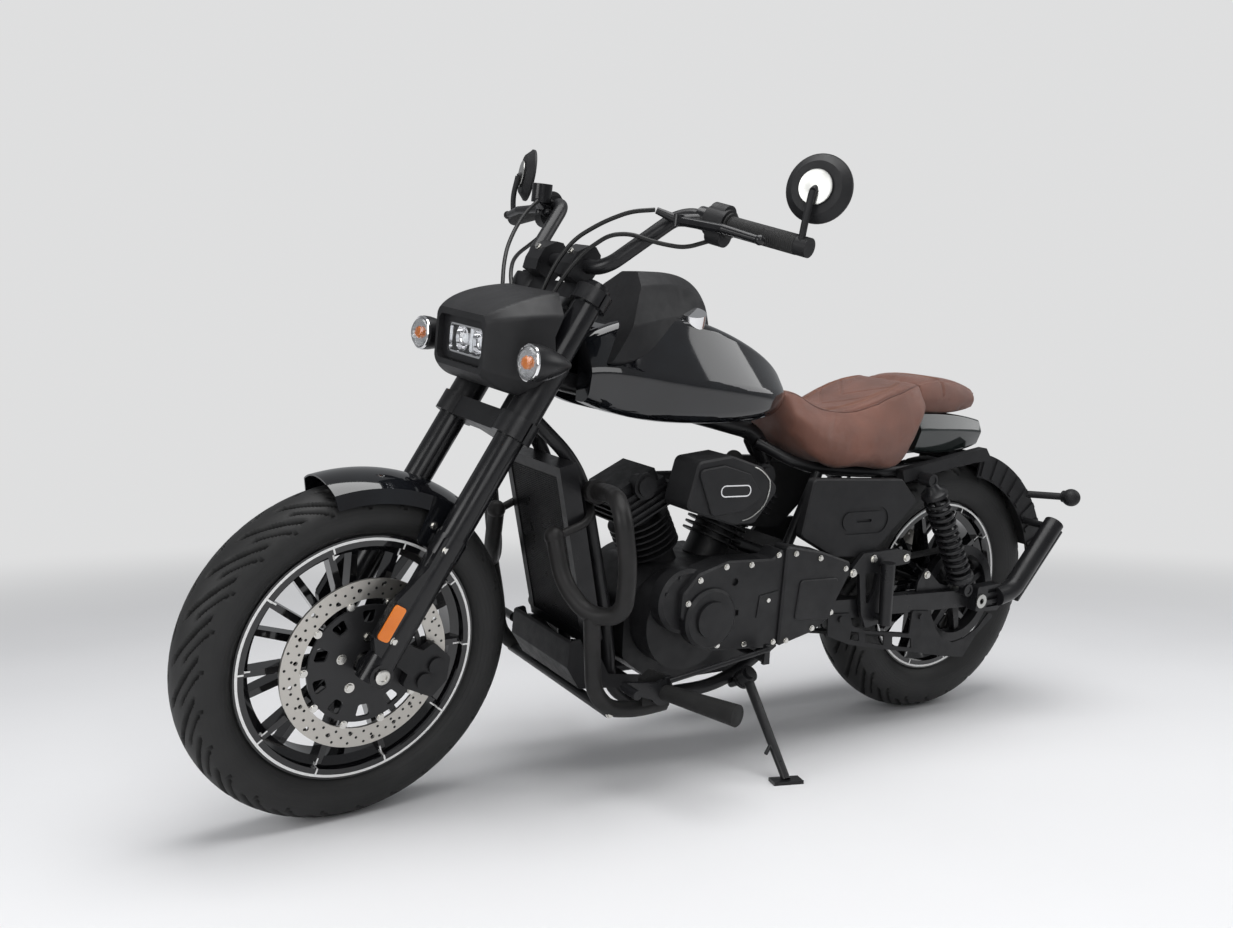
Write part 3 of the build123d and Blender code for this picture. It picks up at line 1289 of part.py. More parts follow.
def standing(pieces):
    """Every piece as the machine stands, and where the upright frame went."""
    ground = stance()
    placed = {}
    for name, piece in pieces.items():
        turn = STEER if name in STEERED_NODES else Pos()
        placed[name] = ground * turn * piece
    boxes = [piece.bounding_box() for piece in placed.values()]
    middle_x = (min(box.min.X for box in boxes) + max(box.max.X for box in boxes)) / 2
    middle_y = (min(box.min.Y for box in boxes) + max(box.max.Y for box in boxes)) / 2
    centre = Pos(-middle_x, -middle_y, -min(box.min.Z for box in boxes))
    return {name: centre * piece for name, piece in placed.items()}, centre * ground


def row_line(place, point, direction):
    """A point and a direction of the upright machine as the machine stands."""
    start = (place * Pos(*point)).position
    end = (place * Pos(*(Vector(*point) + Vector(*direction)))).position
    return start, (end - start).normalized()


def print_lines(place):
    """Print the joints' and mounts' places and directions for the record."""
    steer_up = (STEM * Pos(0, 0, 1)).position - STEM.position
    steered = place * STEER
    lines = {
        "rear_wheel_spin": row_line(place, REAR_AXLE.position, (0, 1, 0)),
        "front_wheel_spin": row_line(steered, FRONT_HUB.position, (0, 1, 0)),
        "steering": row_line(place, (STEM * Pos(0, 0, 600)).position, steer_up),
        "side_stand": row_line(place, STAND_PIVOT, stand_axis()),
        "stand_foot": row_line(place, (STAND_FOOT_X, STAND_FOOT_Y, 50), (0, 0, -1)),
    }
    for name, (start, direction) in lines.items():
        print("LINE", name, *[round(v, 4) for v in start], *[round(v, 7) for v in direction])


def main():
    """Model, place and write every piece."""
    pieces = {name: make() for name, make in {**FRAME_NODES, **STEERED_NODES}.items()}
    placed, place = standing(pieces)
    for name in ("front_tyre", "rear_tyre", "side_stand"):
        print(name, "lowest", round(lowest(placed[name]), 3))
    print_lines(place)
    os.makedirs("parts", exist_ok=True)
    for name, piece in placed.items():
        export_step(Compound(children=piece.solids(), label=name), f"parts/{name}.step")


if __name__ == "__main__":
    main()
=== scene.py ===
"""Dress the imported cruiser: finishes, saddle, springs, lamps, fastenings, trim, light and camera."""

import json
import logging
import math
from dataclasses import dataclass, field
from enum import Enum
from typing import Callable, Iterable, Sequence

import bmesh
import bpy
from mathutils import Matrix, Vector
from mathutils.bvhtree import BVHTree


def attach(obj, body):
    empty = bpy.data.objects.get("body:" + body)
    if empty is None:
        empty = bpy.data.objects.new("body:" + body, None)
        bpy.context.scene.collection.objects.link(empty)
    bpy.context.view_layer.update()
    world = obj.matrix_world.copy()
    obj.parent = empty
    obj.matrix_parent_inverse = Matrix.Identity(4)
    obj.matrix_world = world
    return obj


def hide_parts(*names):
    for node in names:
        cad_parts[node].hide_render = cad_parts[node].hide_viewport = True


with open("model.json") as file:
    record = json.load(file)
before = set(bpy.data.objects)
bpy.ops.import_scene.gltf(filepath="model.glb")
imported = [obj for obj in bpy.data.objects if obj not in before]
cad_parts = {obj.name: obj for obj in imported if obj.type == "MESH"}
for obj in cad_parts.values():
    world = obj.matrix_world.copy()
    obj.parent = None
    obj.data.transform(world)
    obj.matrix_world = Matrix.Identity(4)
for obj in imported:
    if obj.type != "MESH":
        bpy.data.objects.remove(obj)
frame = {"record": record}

log = logging.getLogger("cruiser")
Point = tuple[float, float, float]
MILLIMETRE = 0.001


class Body(Enum):
    """The moving bodies that a piece can ride on."""

    CHASSIS = "frame"
    STEERING = "steering"
    FRONT_WHEEL = "front_wheel"
    REAR_WHEEL = "rear_wheel"
    STAND = "side_stand"


class Machine:
    """Where the upright machine's own millimetres lie in the scene.

    The machine's frame has X forward, Y to the rider's left and Z up, with the rear axle above its
    origin. The steered part's frame is turned about the steering axis as the bars stand.
    """

    REAR_AXLE: Point = (0.0, 0.0, 325.0)
    FRONT_AXLE: Point = (1500.0, 0.0, 314.0)
    RAKE: float = math.radians(29.73)

    def __init__(self, joints: Sequence[dict]) -> None:
        """Read the joints and work out both frames.

        Args:
            joints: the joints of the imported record.
        """
        named = {joint["name"]: joint for joint in joints}
        across = Vector(named["rear_wheel_spin"]["axis"]).normalized()
        steer = Vector(named["steering"]["axis"]).normalized()
        up = Matrix.Rotation(self.RAKE, 3, across) @ steer
        up = (up - across * up.dot(across)).normalized()
        forward = across.cross(up).normalized()
        self.turn = Matrix((forward, across, up)).transposed()
        axle = Vector(named["rear_wheel_spin"]["pos_m"])
        self.origin = axle - self.turn @ (Vector(self.REAR_AXLE) * MILLIMETRE)
        self.chassis = Matrix.Translation(self.origin) @ self.turn.to_4x4()
        pivot = Vector(named["steering"]["pos_m"])
        spin = Vector(named["front_wheel_spin"]["axis"]).normalized()
        angle = self.steer_angle(across, spin, steer)
        about = Matrix.Translation(pivot) @ Matrix.Rotation(angle, 4, steer) @ Matrix.Translation(-pivot)
        self.steered = about @ self.chassis
        self.front_spin = (Vector(named["front_wheel_spin"]["pos_m"]), spin)
        self.rear_spin = (axle, across)

    @staticmethod
    def steer_angle(across: Vector, spin: Vector, steer: Vector) -> float:
        """The turn of the bars at rest.

        Args:
            across: the direction of the rear axle.
            spin: the direction of the front axle.
            steer: the direction of the steering axis.

        Returns:
            The angle in radians about the steering axis.
        """
        flat_a = (across - steer * across.dot(steer)).normalized()
        flat_b = (spin - steer * spin.dot(steer)).normalized()
        return math.copysign(flat_a.angle(flat_b), flat_a.cross(flat_b).dot(steer))

    def place(self, body: Body) -> Matrix:
        """The frame that the pieces of a body are built in."""
        return self.steered if body in (Body.STEERING, Body.FRONT_WHEEL) else self.chassis

    def fork(self, forward: float, across: float, along: float) -> Point:
        """A point given along the fork legs from the front axle.

        Args:
            forward: distance ahead of the legs, square to them.
            across: distance to the rider's left.
            along: distance up the legs.

        Returns:
            The point in the upright machine's millimetres.
        """
        x = self.FRONT_AXLE[0] + forward * math.cos(self.RAKE) - along * math.sin(self.RAKE)
        z = self.FRONT_AXLE[2] + forward * math.sin(self.RAKE) + along * math.cos(self.RAKE)
        return (x, across, z)


MACHINE = Machine(frame["record"]["behaviour"]["joints"])


# Finishes


class Nodes:
    """A small writer of shader nodes."""

    def __init__(self, material: bpy.types.Material) -> None:
        """Start on a material's own node tree."""
        material.use_nodes = True
        self.tree = material.node_tree
        self.shader = self.tree.nodes["Principled BSDF"]

    def add(self, kind: str, **settings: object) -> bpy.types.Node:
        """Add a node and set its properties."""
        node = self.tree.nodes.new(kind)
        for name, value in settings.items():
            setattr(node, name, value)
        return node

    def join(self, start: bpy.types.NodeSocket, end: bpy.types.NodeSocket) -> None:
        """Link two sockets."""
        self.tree.links.new(start, end)

    def maths(self, operation: str, first: object, second: object = None,
              third: object = None) -> bpy.types.NodeSocket:
        """Add a maths node.

        Args:
            operation: Blender's name of the operation.
            first: a socket or a number.
            second: a socket or a number.
            third: a socket or a number.

        Returns:
            The result's socket.
        """
        node = self.add("ShaderNodeMath", operation=operation)
        for slot, value in zip(node.inputs, (first, second, third)):
            if isinstance(value, bpy.types.NodeSocket):
                self.join(value, slot)
            elif value is not None:
                slot.default_value = value
        return node.outputs[0]

    def vector(self, operation: str, first: object, second: object) -> bpy.types.Node:
        """Add a vector maths node on two sockets or vectors."""
        node = self.add("ShaderNodeVectorMath", operation=operation)
        for slot, value in zip(node.inputs, (first, second)):
            if isinstance(value, bpy.types.NodeSocket):
                self.join(value, slot)
            else:
                slot.default_value = value
        return node

    def position(self) -> bpy.types.NodeSocket:
        """The piece's own coordinates."""
        return self.add("ShaderNodeTexCoord").outputs["Object"]

    def noise(self, scale: float, detail: float = 4.0) -> bpy.types.NodeSocket:
        """A noise value over the piece.

        Args:
            scale: cells a metre.
            detail: octaves.

        Returns:
            The noise's factor socket.
        """
        node = self.add("ShaderNodeTexNoise")
        node.inputs["Scale"].default_value = scale
        node.inputs["Detail"].default_value = detail
        self.join(self.position(), node.inputs["Vector"])
        return node.outputs["Fac"]

    def spread(self, value: bpy.types.NodeSocket, low: float, high: float) -> bpy.types.NodeSocket:
        """Map a middling noise value onto a range."""
        node = self.add("ShaderNodeMapRange")
        node.inputs["From Min"].default_value = 0.3
        node.inputs["From Max"].default_value = 0.7
        node.inputs["To Min"].default_value = low
        node.inputs["To Max"].default_value = high
        self.join(value, node.inputs["Value"])
        return node.outputs["Result"]

    def mix(self, share: bpy.types.NodeSocket, first: object, second: object) -> bpy.types.NodeSocket:
        """Mix two colours by a share.

        Args:
            share: 0 gives the first colour and 1 the second.
            first: a socket or a colour.
            second: a socket or a colour.

        Returns:
            The mixed colour's socket.
        """
        node = self.add("ShaderNodeMix", data_type="RGBA")
        self.join(share, node.inputs[0])
        for slot, value in ((node.inputs[6], first), (node.inputs[7], second)):
            if isinstance(value, bpy.types.NodeSocket):
                self.join(value, slot)
            else:
                slot.default_value = (*value, 1.0)
        return node.outputs[2]

    def bump(self, height: bpy.types.NodeSocket, depth: float, strength: float = 1.0) -> None:
        """Put a relief of a height and a depth in metres on the surface."""
        node = self.add("ShaderNodeBump")
        node.inputs["Distance"].default_value = depth
        node.inputs["Strength"].default_value = strength
        self.join(height, node.inputs["Height"])
        self.join(node.outputs["Normal"], self.shader.inputs["Normal"])

    def polar(self, centre: Vector, axis: Vector) -> tuple[bpy.types.NodeSocket, ...]:
        """Wheel coordinates about an axle.

        Args:
            centre: a point on the axle.
            axis: the axle's direction.

        Returns:
            Sockets of the radius, the angle in radians and the distance along the axle.
        """
        forward = axis.cross(Vector((0, 0, 1))).normalized() * -1
        up = forward.cross(axis).normalized()
        arm = self.vector("SUBTRACT", self.position(), tuple(centre)).outputs[0]
        parts = [self.vector("DOT_PRODUCT", arm, tuple(way)).outputs["Value"] for way in (forward, up,
                                                                axis)]
        squares = self.maths("ADD", self.maths("MULTIPLY", parts[0], parts[0]),
                             self.maths("MULTIPLY", parts[1], parts[1]))
        return self.maths("SQRT", squares), self.maths("ARCTAN2", parts[1], parts[0]), parts[2]

    def within(self, value: bpy.types.NodeSocket, low: float, high: float) -> bpy.types.NodeSocket:
        """One where a value lies between two bounds."""
        return self.maths("MULTIPLY", self.maths("GREATER_THAN", value, low),
                          self.maths("LESS_THAN", value, high))


@dataclass(frozen=True)
class Finish:
    """A plain finish: colour with slow mottling, sheen that varies and a fine grain.

    The two shades are the ends of the mottling, dull and shine are the ends of the roughness, and
    the grain is cells a metre with its depth in metres.
    """

    name: str
    shade: Point
    light_shade: Point
    shine: float
    dull: float
    metallic: float = 0.0
    grain: float = 0.0
    grain_depth: float = 0.0
    mottle: float = 14.0
    coat: float = 0.0
    transmission: float = 0.0
    ior: float = 1.45
    glow: float = 0.0

    def material(self) -> bpy.types.Material:
        """The finish's material, made once.

        Returns:
            The Blender material.
        """
        found = bpy.data.materials.get(self.name)
        if found:
            return found
        made = bpy.data.materials.new(self.name)
        nodes = Nodes(made)
        shader = nodes.shader
        patches = nodes.noise(self.mottle)
        nodes.join(nodes.mix(nodes.spread(patches, 0.0, 1.0), self.shade, self.light_shade),
                   shader.inputs["Base Color"])
        nodes.join(nodes.spread(nodes.noise(self.mottle * 3.1), self.shine, self.dull),
                   shader.inputs["Roughness"])
        shader.inputs["Metallic"].default_value = self.metallic
        shader.inputs["IOR"].default_value = self.ior
        shader.inputs["Coat Weight"].default_value = self.coat
        shader.inputs["Coat Roughness"].default_value = 0.04
        shader.inputs["Transmission Weight"].default_value = self.transmission
        if self.glow:
            shader.inputs["Emission Color"].default_value = (*self.light_shade, 1.0)
            shader.inputs["Emission Strength"].default_value = self.glow
        if self.grain:
            nodes.bump(nodes.noise(self.grain, 2.0), self.grain_depth)
        self.detail(nodes)
        return made

    def detail(self, nodes: Nodes) -> None:
        """Add what only one kind of finish shows; a plain finish has nothing more."""


@dataclass(frozen=True)
class LeatherFinish(Finish):
    """Grained leather: pores of two sizes and soft creases."""

    def detail(self, nodes: Nodes) -> None:
        """Lay the pores and creases."""
        cells = nodes.add("ShaderNodeTexVoronoi", feature="DISTANCE_TO_EDGE")
        cells.inputs["Scale"].default_value = 420.0
        nodes.join(nodes.position(), cells.inputs["Vector"])
        pores = nodes.maths("MINIMUM", nodes.maths("MULTIPLY", cells.outputs["Distance"], 6.0), 1.0)
        creases = nodes.maths("MULTIPLY", nodes.noise(38.0, 6.0), 2.2)
        nodes.bump(nodes.maths("ADD", pores, creases), 0.00045)
        nodes.shader.inputs["Sheen Weight"].default_value = 0.15


@dataclass(frozen=True)
class RotorFinish(Finish):
    """A brake rotor: turned steel outside a radius and black paint inside it."""

    centre: Point = (0.0, 0.0, 0.0)
    axis: Point = (0.0, 1.0, 0.0)
    inner: float = 0.118

    def detail(self, nodes: Nodes) -> None:
        """Part the rotor from its spider and score the swept face."""
        radius, _, _ = nodes.polar(Vector(self.centre), Vector(self.axis))
        swept = nodes.maths("GREATER_THAN", radius, self.inner)
        wave = nodes.maths("SINE", nodes.maths("MULTIPLY", radius, 5200.0))
        steel = nodes.mix(nodes.maths("MULTIPLY_ADD", wave, 0.18, 0.5), (0.42, 0.40, 0.37),
                          (0.62, 0.60, 0.56))
        nodes.join(nodes.mix(swept, (0.014, 0.014, 0.015), steel), nodes.shader.inputs["Base Color"])
        nodes.join(nodes.maths("MULTIPLY", swept, 0.95), nodes.shader.inputs["Metallic"])
        nodes.join(nodes.maths("MULTIPLY_ADD", swept, -0.06, 0.4), nodes.shader.inputs["Roughness"])
        nodes.bump(nodes.maths("MULTIPLY", wave, swept), 0.00004)


@dataclass(frozen=True)
class RimFinish(Finish):
    """Gloss black cast wheel with a machined line round the lip and at each spoke's end."""

    centre: Point = (0.0, 0.0, 0.0)
    axis: Point = (0.0, 1.0, 0.0)
    lip: float = 0.222
    flange: float = 0.0455
    spokes: int = 10

    def detail(self, nodes: Nodes) -> None:
        """Cut the bright line and ticks through the paint."""
        radius, angle, along = nodes.polar(Vector(self.centre), Vector(self.axis))
        outside = nodes.maths("ABSOLUTE", along)
        line = nodes.maths("MULTIPLY", nodes.within(radius, self.lip - 0.0026, self.lip + 0.0022),
                           nodes.maths("GREATER_THAN", outside, self.flange - 0.004))
        turn = nodes.maths("FRACT", nodes.maths("MULTIPLY", angle, self.spokes / math.tau))
        offset = nodes.maths("ABSOLUTE", nodes.maths("SUBTRACT", turn, 0.5))
        near = nodes.maths("GREATER_THAN", offset, 0.488)
        tick = nodes.maths("MULTIPLY", near, nodes.within(radius, self.lip - 0.028, self.lip + 0.0005))
        tick = nodes.maths("MULTIPLY", tick, nodes.maths("GREATER_THAN", outside, 0.012))
        bright = nodes.maths("MAXIMUM", line, tick)
        nodes.join(nodes.mix(bright, self.shade, (0.80, 0.80, 0.79)), nodes.shader.inputs["Base Color"])
        nodes.join(nodes.maths("MULTIPLY_ADD", bright, 0.12, self.shine), nodes.shader.inputs["Roughness"])


@dataclass(frozen=True)
class TyreFinish(Finish):
    """Tyre rubber with ringed sidewalls and painted shade in the tread grooves."""

    centre: Point = (0.0, 0.0, 0.0)
    axis: Point = (0.0, 1.0, 0.0)
    shoulder: float = 0.291

    def detail(self, nodes: Nodes) -> None:
        """Ring the sidewalls, grain the rubber and paint shade into the tread grooves."""
        radius, _, _ = nodes.polar(Vector(self.centre), Vector(self.axis))
        rings = nodes.maths("SINE", nodes.maths("MULTIPLY", radius, 900.0))
        wall = nodes.within(radius, self.shoulder - 0.058, self.shoulder - 0.012)
        ringed = nodes.maths("MULTIPLY",
                             nodes.maths("MULTIPLY", nodes.maths("GREATER_THAN", rings, 0.86), wall), 0.25)
        nodes.bump(nodes.maths("ADD", ringed, nodes.maths("MULTIPLY", nodes.noise(900.0), 0.05)), 0.002)
        shade = nodes.mix(nodes.spread(nodes.noise(20.0), 0.0, 1.0), self.shade, self.light_shade)
        # Painted shade: the rubber turns near black, and rougher, where the groove attribute marks the
        # tread grooves.
        groove = nodes.add("ShaderNodeAttribute", attribute_name="groove").outputs["Fac"]
        nodes.join(nodes.mix(groove, shade, (0.001, 0.001, 0.001)), nodes.shader.inputs["Base Color"])
        nodes.join(nodes.maths("MULTIPLY_ADD", groove, 0.38, 0.56), nodes.shader.inputs["Roughness"])


@dataclass(frozen=True)
class RibbedFinish(Finish):
    """Moulded rubber with fine ribs round a bar."""

    start: Point = (0.0, 0.0, 0.0)
    along: Point = (0.0, 1.0, 0.0)
    pitch: float = 0.004

    def detail(self, nodes: Nodes) -> None:
        """Raise the ribs."""
        arm = nodes.vector("SUBTRACT", nodes.position(), self.start).outputs[0]
        way = nodes.vector("DOT_PRODUCT", arm, self.along).outputs["Value"]
        nodes.bump(nodes.maths("SINE", nodes.maths("MULTIPLY", way, math.tau / self.pitch)), 0.0007)


GLOSS = Finish("gloss_black_paint", (0.004, 0.004, 0.005), (0.007, 0.008, 0.010), 0.05, 0.09, coat=0.6,
               grain=900, grain_depth=0.000004)
TAIL_GLOSS = Finish("dark_green_black_paint", (0.010, 0.013, 0.013), (0.016, 0.021, 0.020), 0.08, 0.14,
                    coat=0.5, grain=900, grain_depth=0.000005)
SATIN = Finish("satin_black_enamel", (0.007, 0.007, 0.008), (0.012, 0.012, 0.013), 0.26, 0.40, grain=1400,
               grain_depth=0.00003, ior=1.38)
FORK_BLACK = Finish("black_fork_paint", (0.005, 0.005, 0.006), (0.009, 0.009, 0.01), 0.16, 0.26, grain=1200,
                    grain_depth=0.00001, ior=1.42)
MATT = Finish("matt_black_moulding", (0.009, 0.009, 0.01), (0.014, 0.014, 0.015), 0.46, 0.60, grain=2600,
              grain_depth=0.00007, ior=1.36)
COWL = Finish("matt_black_housing", (0.01, 0.01, 0.011), (0.016, 0.016, 0.017), 0.42, 0.54, grain=2200,
              grain_depth=0.00006, ior=1.36)
CAST = Finish("black_crinkle_casting", (0.007, 0.007, 0.008), (0.014, 0.014, 0.015), 0.36, 0.55, grain=1100,
              grain_depth=0.00018, ior=1.38)
SOOTY = Finish("matt_black_pipe_coating", (0.007, 0.007, 0.007), (0.015, 0.014, 0.014), 0.38, 0.58,
               grain=1600, grain_depth=0.00005, ior=1.36)
RUBBER = Finish("black_rubber", (0.008, 0.008, 0.008), (0.013, 0.013, 0.013), 0.55, 0.75, grain=900,
                grain_depth=0.0001, ior=1.33)
CABLE = Finish("black_cable_sleeve", (0.007, 0.007, 0.007), (0.012, 0.012, 0.012), 0.30, 0.42, grain=1800,
               grain_depth=0.00003, ior=1.38)
STEEL = Finish("zinc_plated_steel", (0.55, 0.54, 0.51), (0.70, 0.69, 0.66), 0.18, 0.32, metallic=1.0,
               grain=1600, grain_depth=0.00002)
BRUSHED = Finish("turned_aluminium", (0.42, 0.42, 0.4), (0.56, 0.56, 0.54), 0.24, 0.38, metallic=1.0,
                 grain=2400, grain_depth=0.00003)
CHROME = Finish("polished_chrome", (0.78, 0.78, 0.79), (0.86, 0.86, 0.87), 0.03, 0.07, metallic=1.0,
                grain=300, grain_depth=0.000003)
LEATHER = LeatherFinish("brown_leather", (0.120, 0.044, 0.027), (0.180, 0.068, 0.043), 0.33, 0.47)
PIPING = LeatherFinish("brown_leather_piping", (0.09, 0.03, 0.018), (0.125, 0.043, 0.026), 0.38, 0.50)
THREAD = Finish("brown_thread", (0.26, 0.12, 0.07), (0.34, 0.17, 0.10), 0.6, 0.8, grain=4000,
                grain_depth=0.0001)
GLASS = Finish("clear_lens", (0.97, 0.98, 1.0), (1.0, 1.0, 1.0), 0.01, 0.03, transmission=1.0, grain=60,
               grain_depth=0.00001)
SMOKED = Finish("fluted_clear_lens", (0.92, 0.93, 0.93), (1.0, 1.0, 1.0), 0.05, 0.12, transmission=1.0,
                grain=260, grain_depth=0.0004)
# The amber finish glows a little; on the reflectors, which are no lamps, this glow is painted light.
AMBER = Finish("amber_lens", (0.55, 0.13, 0.015), (0.72, 0.2, 0.025), 0.10, 0.18, grain=500,
               grain_depth=0.0002, glow=0.12)
RED = Finish("red_lens", (0.45, 0.010, 0.008), (0.60, 0.020, 0.012), 0.08, 0.16, grain=420,
             grain_depth=0.0002)
LAMP_WHITE = Finish("frosted_lamp_element", (0.82, 0.85, 0.88), (0.95, 0.97, 1.0), 0.15, 0.25, grain=700,
                    grain_depth=0.0002, glow=0.25)


# Meshes


def publish(name: str, mesh: bpy.types.Mesh, finish: Finish, body: Body,
            sharp: float = 35.0) -> bpy.types.Object:
    """Make an object of a finished mesh and let it ride on its body.

    Args:
        name: the piece's name.
        mesh: the mesh, already in its place in metres.
        finish: its finish.
        body: the body that it rides on.
        sharp: edges steeper than this many degrees stay sharp.

    Returns:
        The object.
    """
    mesh.name = name
    mesh.materials.clear()
    mesh.materials.append(finish.material())
    mesh.polygons.foreach_set("use_smooth", [True] * len(mesh.polygons))
    mesh.set_sharp_from_angle(angle=math.radians(sharp))
    piece = bpy.data.objects.new(name, mesh)
    bpy.context.scene.collection.objects.link(piece)
    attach(piece, body.value)
    log.info("%s on %s: %d faces", name, body.value, len(mesh.polygons))
    return piece


class Stock:
    """A mesh under construction, in the machine's millimetres."""

    def __init__(self) -> None:
        """Start with nothing."""
        self.bm = bmesh.new()

    def loops(self, rings: Sequence[Sequence[Point]], closed: bool = True, caps: bool = True) -> "Stock":
        """Skin a run of rings of points.

        Args:
            rings: rings with the same number of points.
            closed: whether each ring closes on itself.
            caps: whether the two ends are filled.

        Returns:
            This stock.
        """
        rows = [[self.bm.verts.new(point) for point in ring] for ring in rings]
        count = len(rows[0])
        last = count if closed else count - 1
        for near, far in zip(rows, rows[1:]):
            for index in range(last):
                after = (index + 1) % count
                self.bm.faces.new((near[index], near[after], far[after], far[index]))
        if caps:
            self.bm.faces.new(list(reversed(rows[0])))
            self.bm.faces.new(rows[-1])
        return self

    def turned(self, start: Point, way: Point, profile: Sequence[tuple[float, float]],
               sides: int = 40) -> "Stock":
        """Turn a profile about a line.

        Args:
            start: where the line starts.
            way: the line's direction.
            profile: distances along the line and radii.
            sides: points round the ring.

        Returns:
            This stock.
        """
        axis = Vector(way).normalized()
        first = axis.orthogonal().normalized()
        second = axis.cross(first)
        rings = []
        for along, radius in profile:
            centre = Vector(start) + axis * along
            ring = []
            for index in range(sides):
                angle = math.tau * index / sides
                spot = centre + first * radius * math.cos(angle) + second * radius * math.sin(angle)
                ring.append(tuple(spot))
            rings.append(ring)
        return self.loops(rings)

    def slab(self, outline: Sequence[tuple[float, float]], low: float, high: float,
             lay: Callable[[float, float, float], Point]) -> "Stock":
        """Raise a flat outline between two levels.

        Args:
            outline: points of the outline.
            low: the lower level.
            high: the upper level.
            lay: turns an outline point and a level into a point of the machine.

        Returns:
            This stock.
        """
        return self.loops([[lay(a, b, level) for a, b in outline] for level in (low, high)])

    def mesh(self, place: Matrix, bevel: float = 0.0, segments: int = 2) -> bpy.types.Mesh:
        """Close the stock into a mesh in its place.

        Args:
            place: the frame that it was built in.
            bevel: a rounding of its edges, in millimetres.
            segments: steps of the rounding.

        Returns:
            The mesh in metres.
        """
        if bevel:
            edges = [edge for edge in self.bm.edges if edge.is_manifold and edge.calc_face_angle(0.0) > 0.6]
            bmesh.ops.bevel(self.bm, geom=edges, offset=bevel, segments=segments, affect="EDGES",
                            profile=0.5)
        bmesh.ops.recalc_face_normals(self.bm, faces=self.bm.faces[:])
        self.bm.transform(place @ Matrix.Scale(MILLIMETRE, 4))
        made = bpy.data.meshes.new("stock")
        self.bm.to_mesh(made)
        self.bm.free()
        return made


def rounded(half_width: float, half_height: float, corner: float,
            steps: int = 5) -> list[tuple[float, float]]:
    """A rectangle with round corners.

    Args:
        half_width: half the first side.
        half_height: half the second side.
        corner: the corners' radius.
        steps: points a corner.

    Returns:
        The outline's points.
    """
    points = []
    for quarter, (sign_a, sign_b) in enumerate(((1, 1), (-1, 1), (-1, -1), (1, -1))):
        for index in range(steps + 1):
            angle = math.pi / 2 * (quarter + index / steps)
            points.append((sign_a * (half_width - corner) + corner * math.cos(angle),
                           sign_b * (half_height - corner) + corner * math.sin(angle)))
    return points


# Geometry trees


class Tree:
    """A geometry tree that ends in realised instances with a finish."""

    def __init__(self, name: str, numbers: dict[str, float]) -> None:
        """Open a tree with named number inputs.

        Args:
            name: the tree's name.
            numbers: each input's name and value.
        """
        self.tree = bpy.data.node_groups.new(name, "GeometryNodeTree")
        self.tree.interface.new_socket("Geometry", in_out="INPUT", socket_type="NodeSocketGeometry")
        self.tree.interface.new_socket("Geometry", in_out="OUTPUT", socket_type="NodeSocketGeometry")
        self.values = numbers
        for label in numbers:
            self.tree.interface.new_socket(label, in_out="INPUT", socket_type="NodeSocketFloat")
        self.entry = self.tree.nodes.new("NodeGroupInput")
        self.exit = self.tree.nodes.new("NodeGroupOutput")

    def add(self, kind: str, **settings: object) -> bpy.types.Node:
        """Add a node and set its properties."""
        node = self.tree.nodes.new(kind)
        for name, value in settings.items():
            setattr(node, name, value)
        return node

    def join(self, start: bpy.types.NodeSocket, end: bpy.types.NodeSocket) -> None:
        """Link two sockets."""
        self.tree.links.new(start, end)

    def number(self, label: str) -> bpy.types.NodeSocket:
        """The socket of a named input."""
        return self.entry.outputs[label]

    def close(self, result: bpy.types.NodeSocket, finish: Finish) -> None:
        """Realise the result and give it its finish.

        Args:
            result: the tree's last geometry.
            finish: the finish of every part.
        """
        real = self.add("GeometryNodeRealizeInstances")
        paint = self.add("GeometryNodeSetMaterial")
        paint.inputs["Material"].default_value = finish.material()
        self.join(result, real.inputs[0])
        self.join(real.outputs[0], paint.inputs["Geometry"])
        self.join(paint.outputs[0], self.exit.inputs[0])

    def grow(self, seed: bpy.types.ID) -> bpy.types.Mesh:
        """Run the tree on a mesh or curve.

        Args:
            seed: the mesh or curve data that the tree starts from.

        Returns:
            The result as a plain mesh.
        """
        holder = bpy.data.objects.new("seed", seed)
        bpy.context.scene.collection.objects.link(holder)
        modifier = holder.modifiers.new("grow", "NODES")
        modifier.node_group = self.tree
        for item in self.tree.interface.items_tree:
            if item.in_out == "INPUT" and item.name in self.values:
                modifier[item.identifier] = float(self.values[item.name])
        graph = bpy.context.evaluated_depsgraph_get()
        made = bpy.data.meshes.new_from_object(holder.evaluated_get(graph))
        holder.modifiers.clear()
        bpy.data.objects.remove(holder)
        return made


def point_cloud(points: Sequence[Point], facing: Sequence[Point]) -> bpy.types.Mesh:
    """Loose points that each face a way.

    Args:
        points: the points, in metres.
        facing: the direction that each faces.

    Returns:
        A mesh of points with an attribute "facing".
    """
    made = bpy.data.meshes.new("points")
    made.from_pydata([tuple(point) for point in points], [], [])
    store = made.attributes.new("facing", "FLOAT_VECTOR", "POINT")
    store.data.foreach_set("vector", [value for way in facing for value in way])
    return made


def line_curve(points: Sequence[Vector]) -> bpy.types.Curve:
    """A smooth curve near a run of points.

    Args:
        points: the points in metres.

    Returns:
        The curve.
    """
    made = bpy.data.curves.new("line", "CURVE")
    made.dimensions = "3D"
    made.resolution_u = 8
    spline = made.splines.new("NURBS")
    spline.points.add(len(points) - 1)
    for knot, point in zip(spline.points, points):
        knot.co = (*point, 1.0)
    spline.order_u = 3
    spline.use_endpoint_u = True
    return made


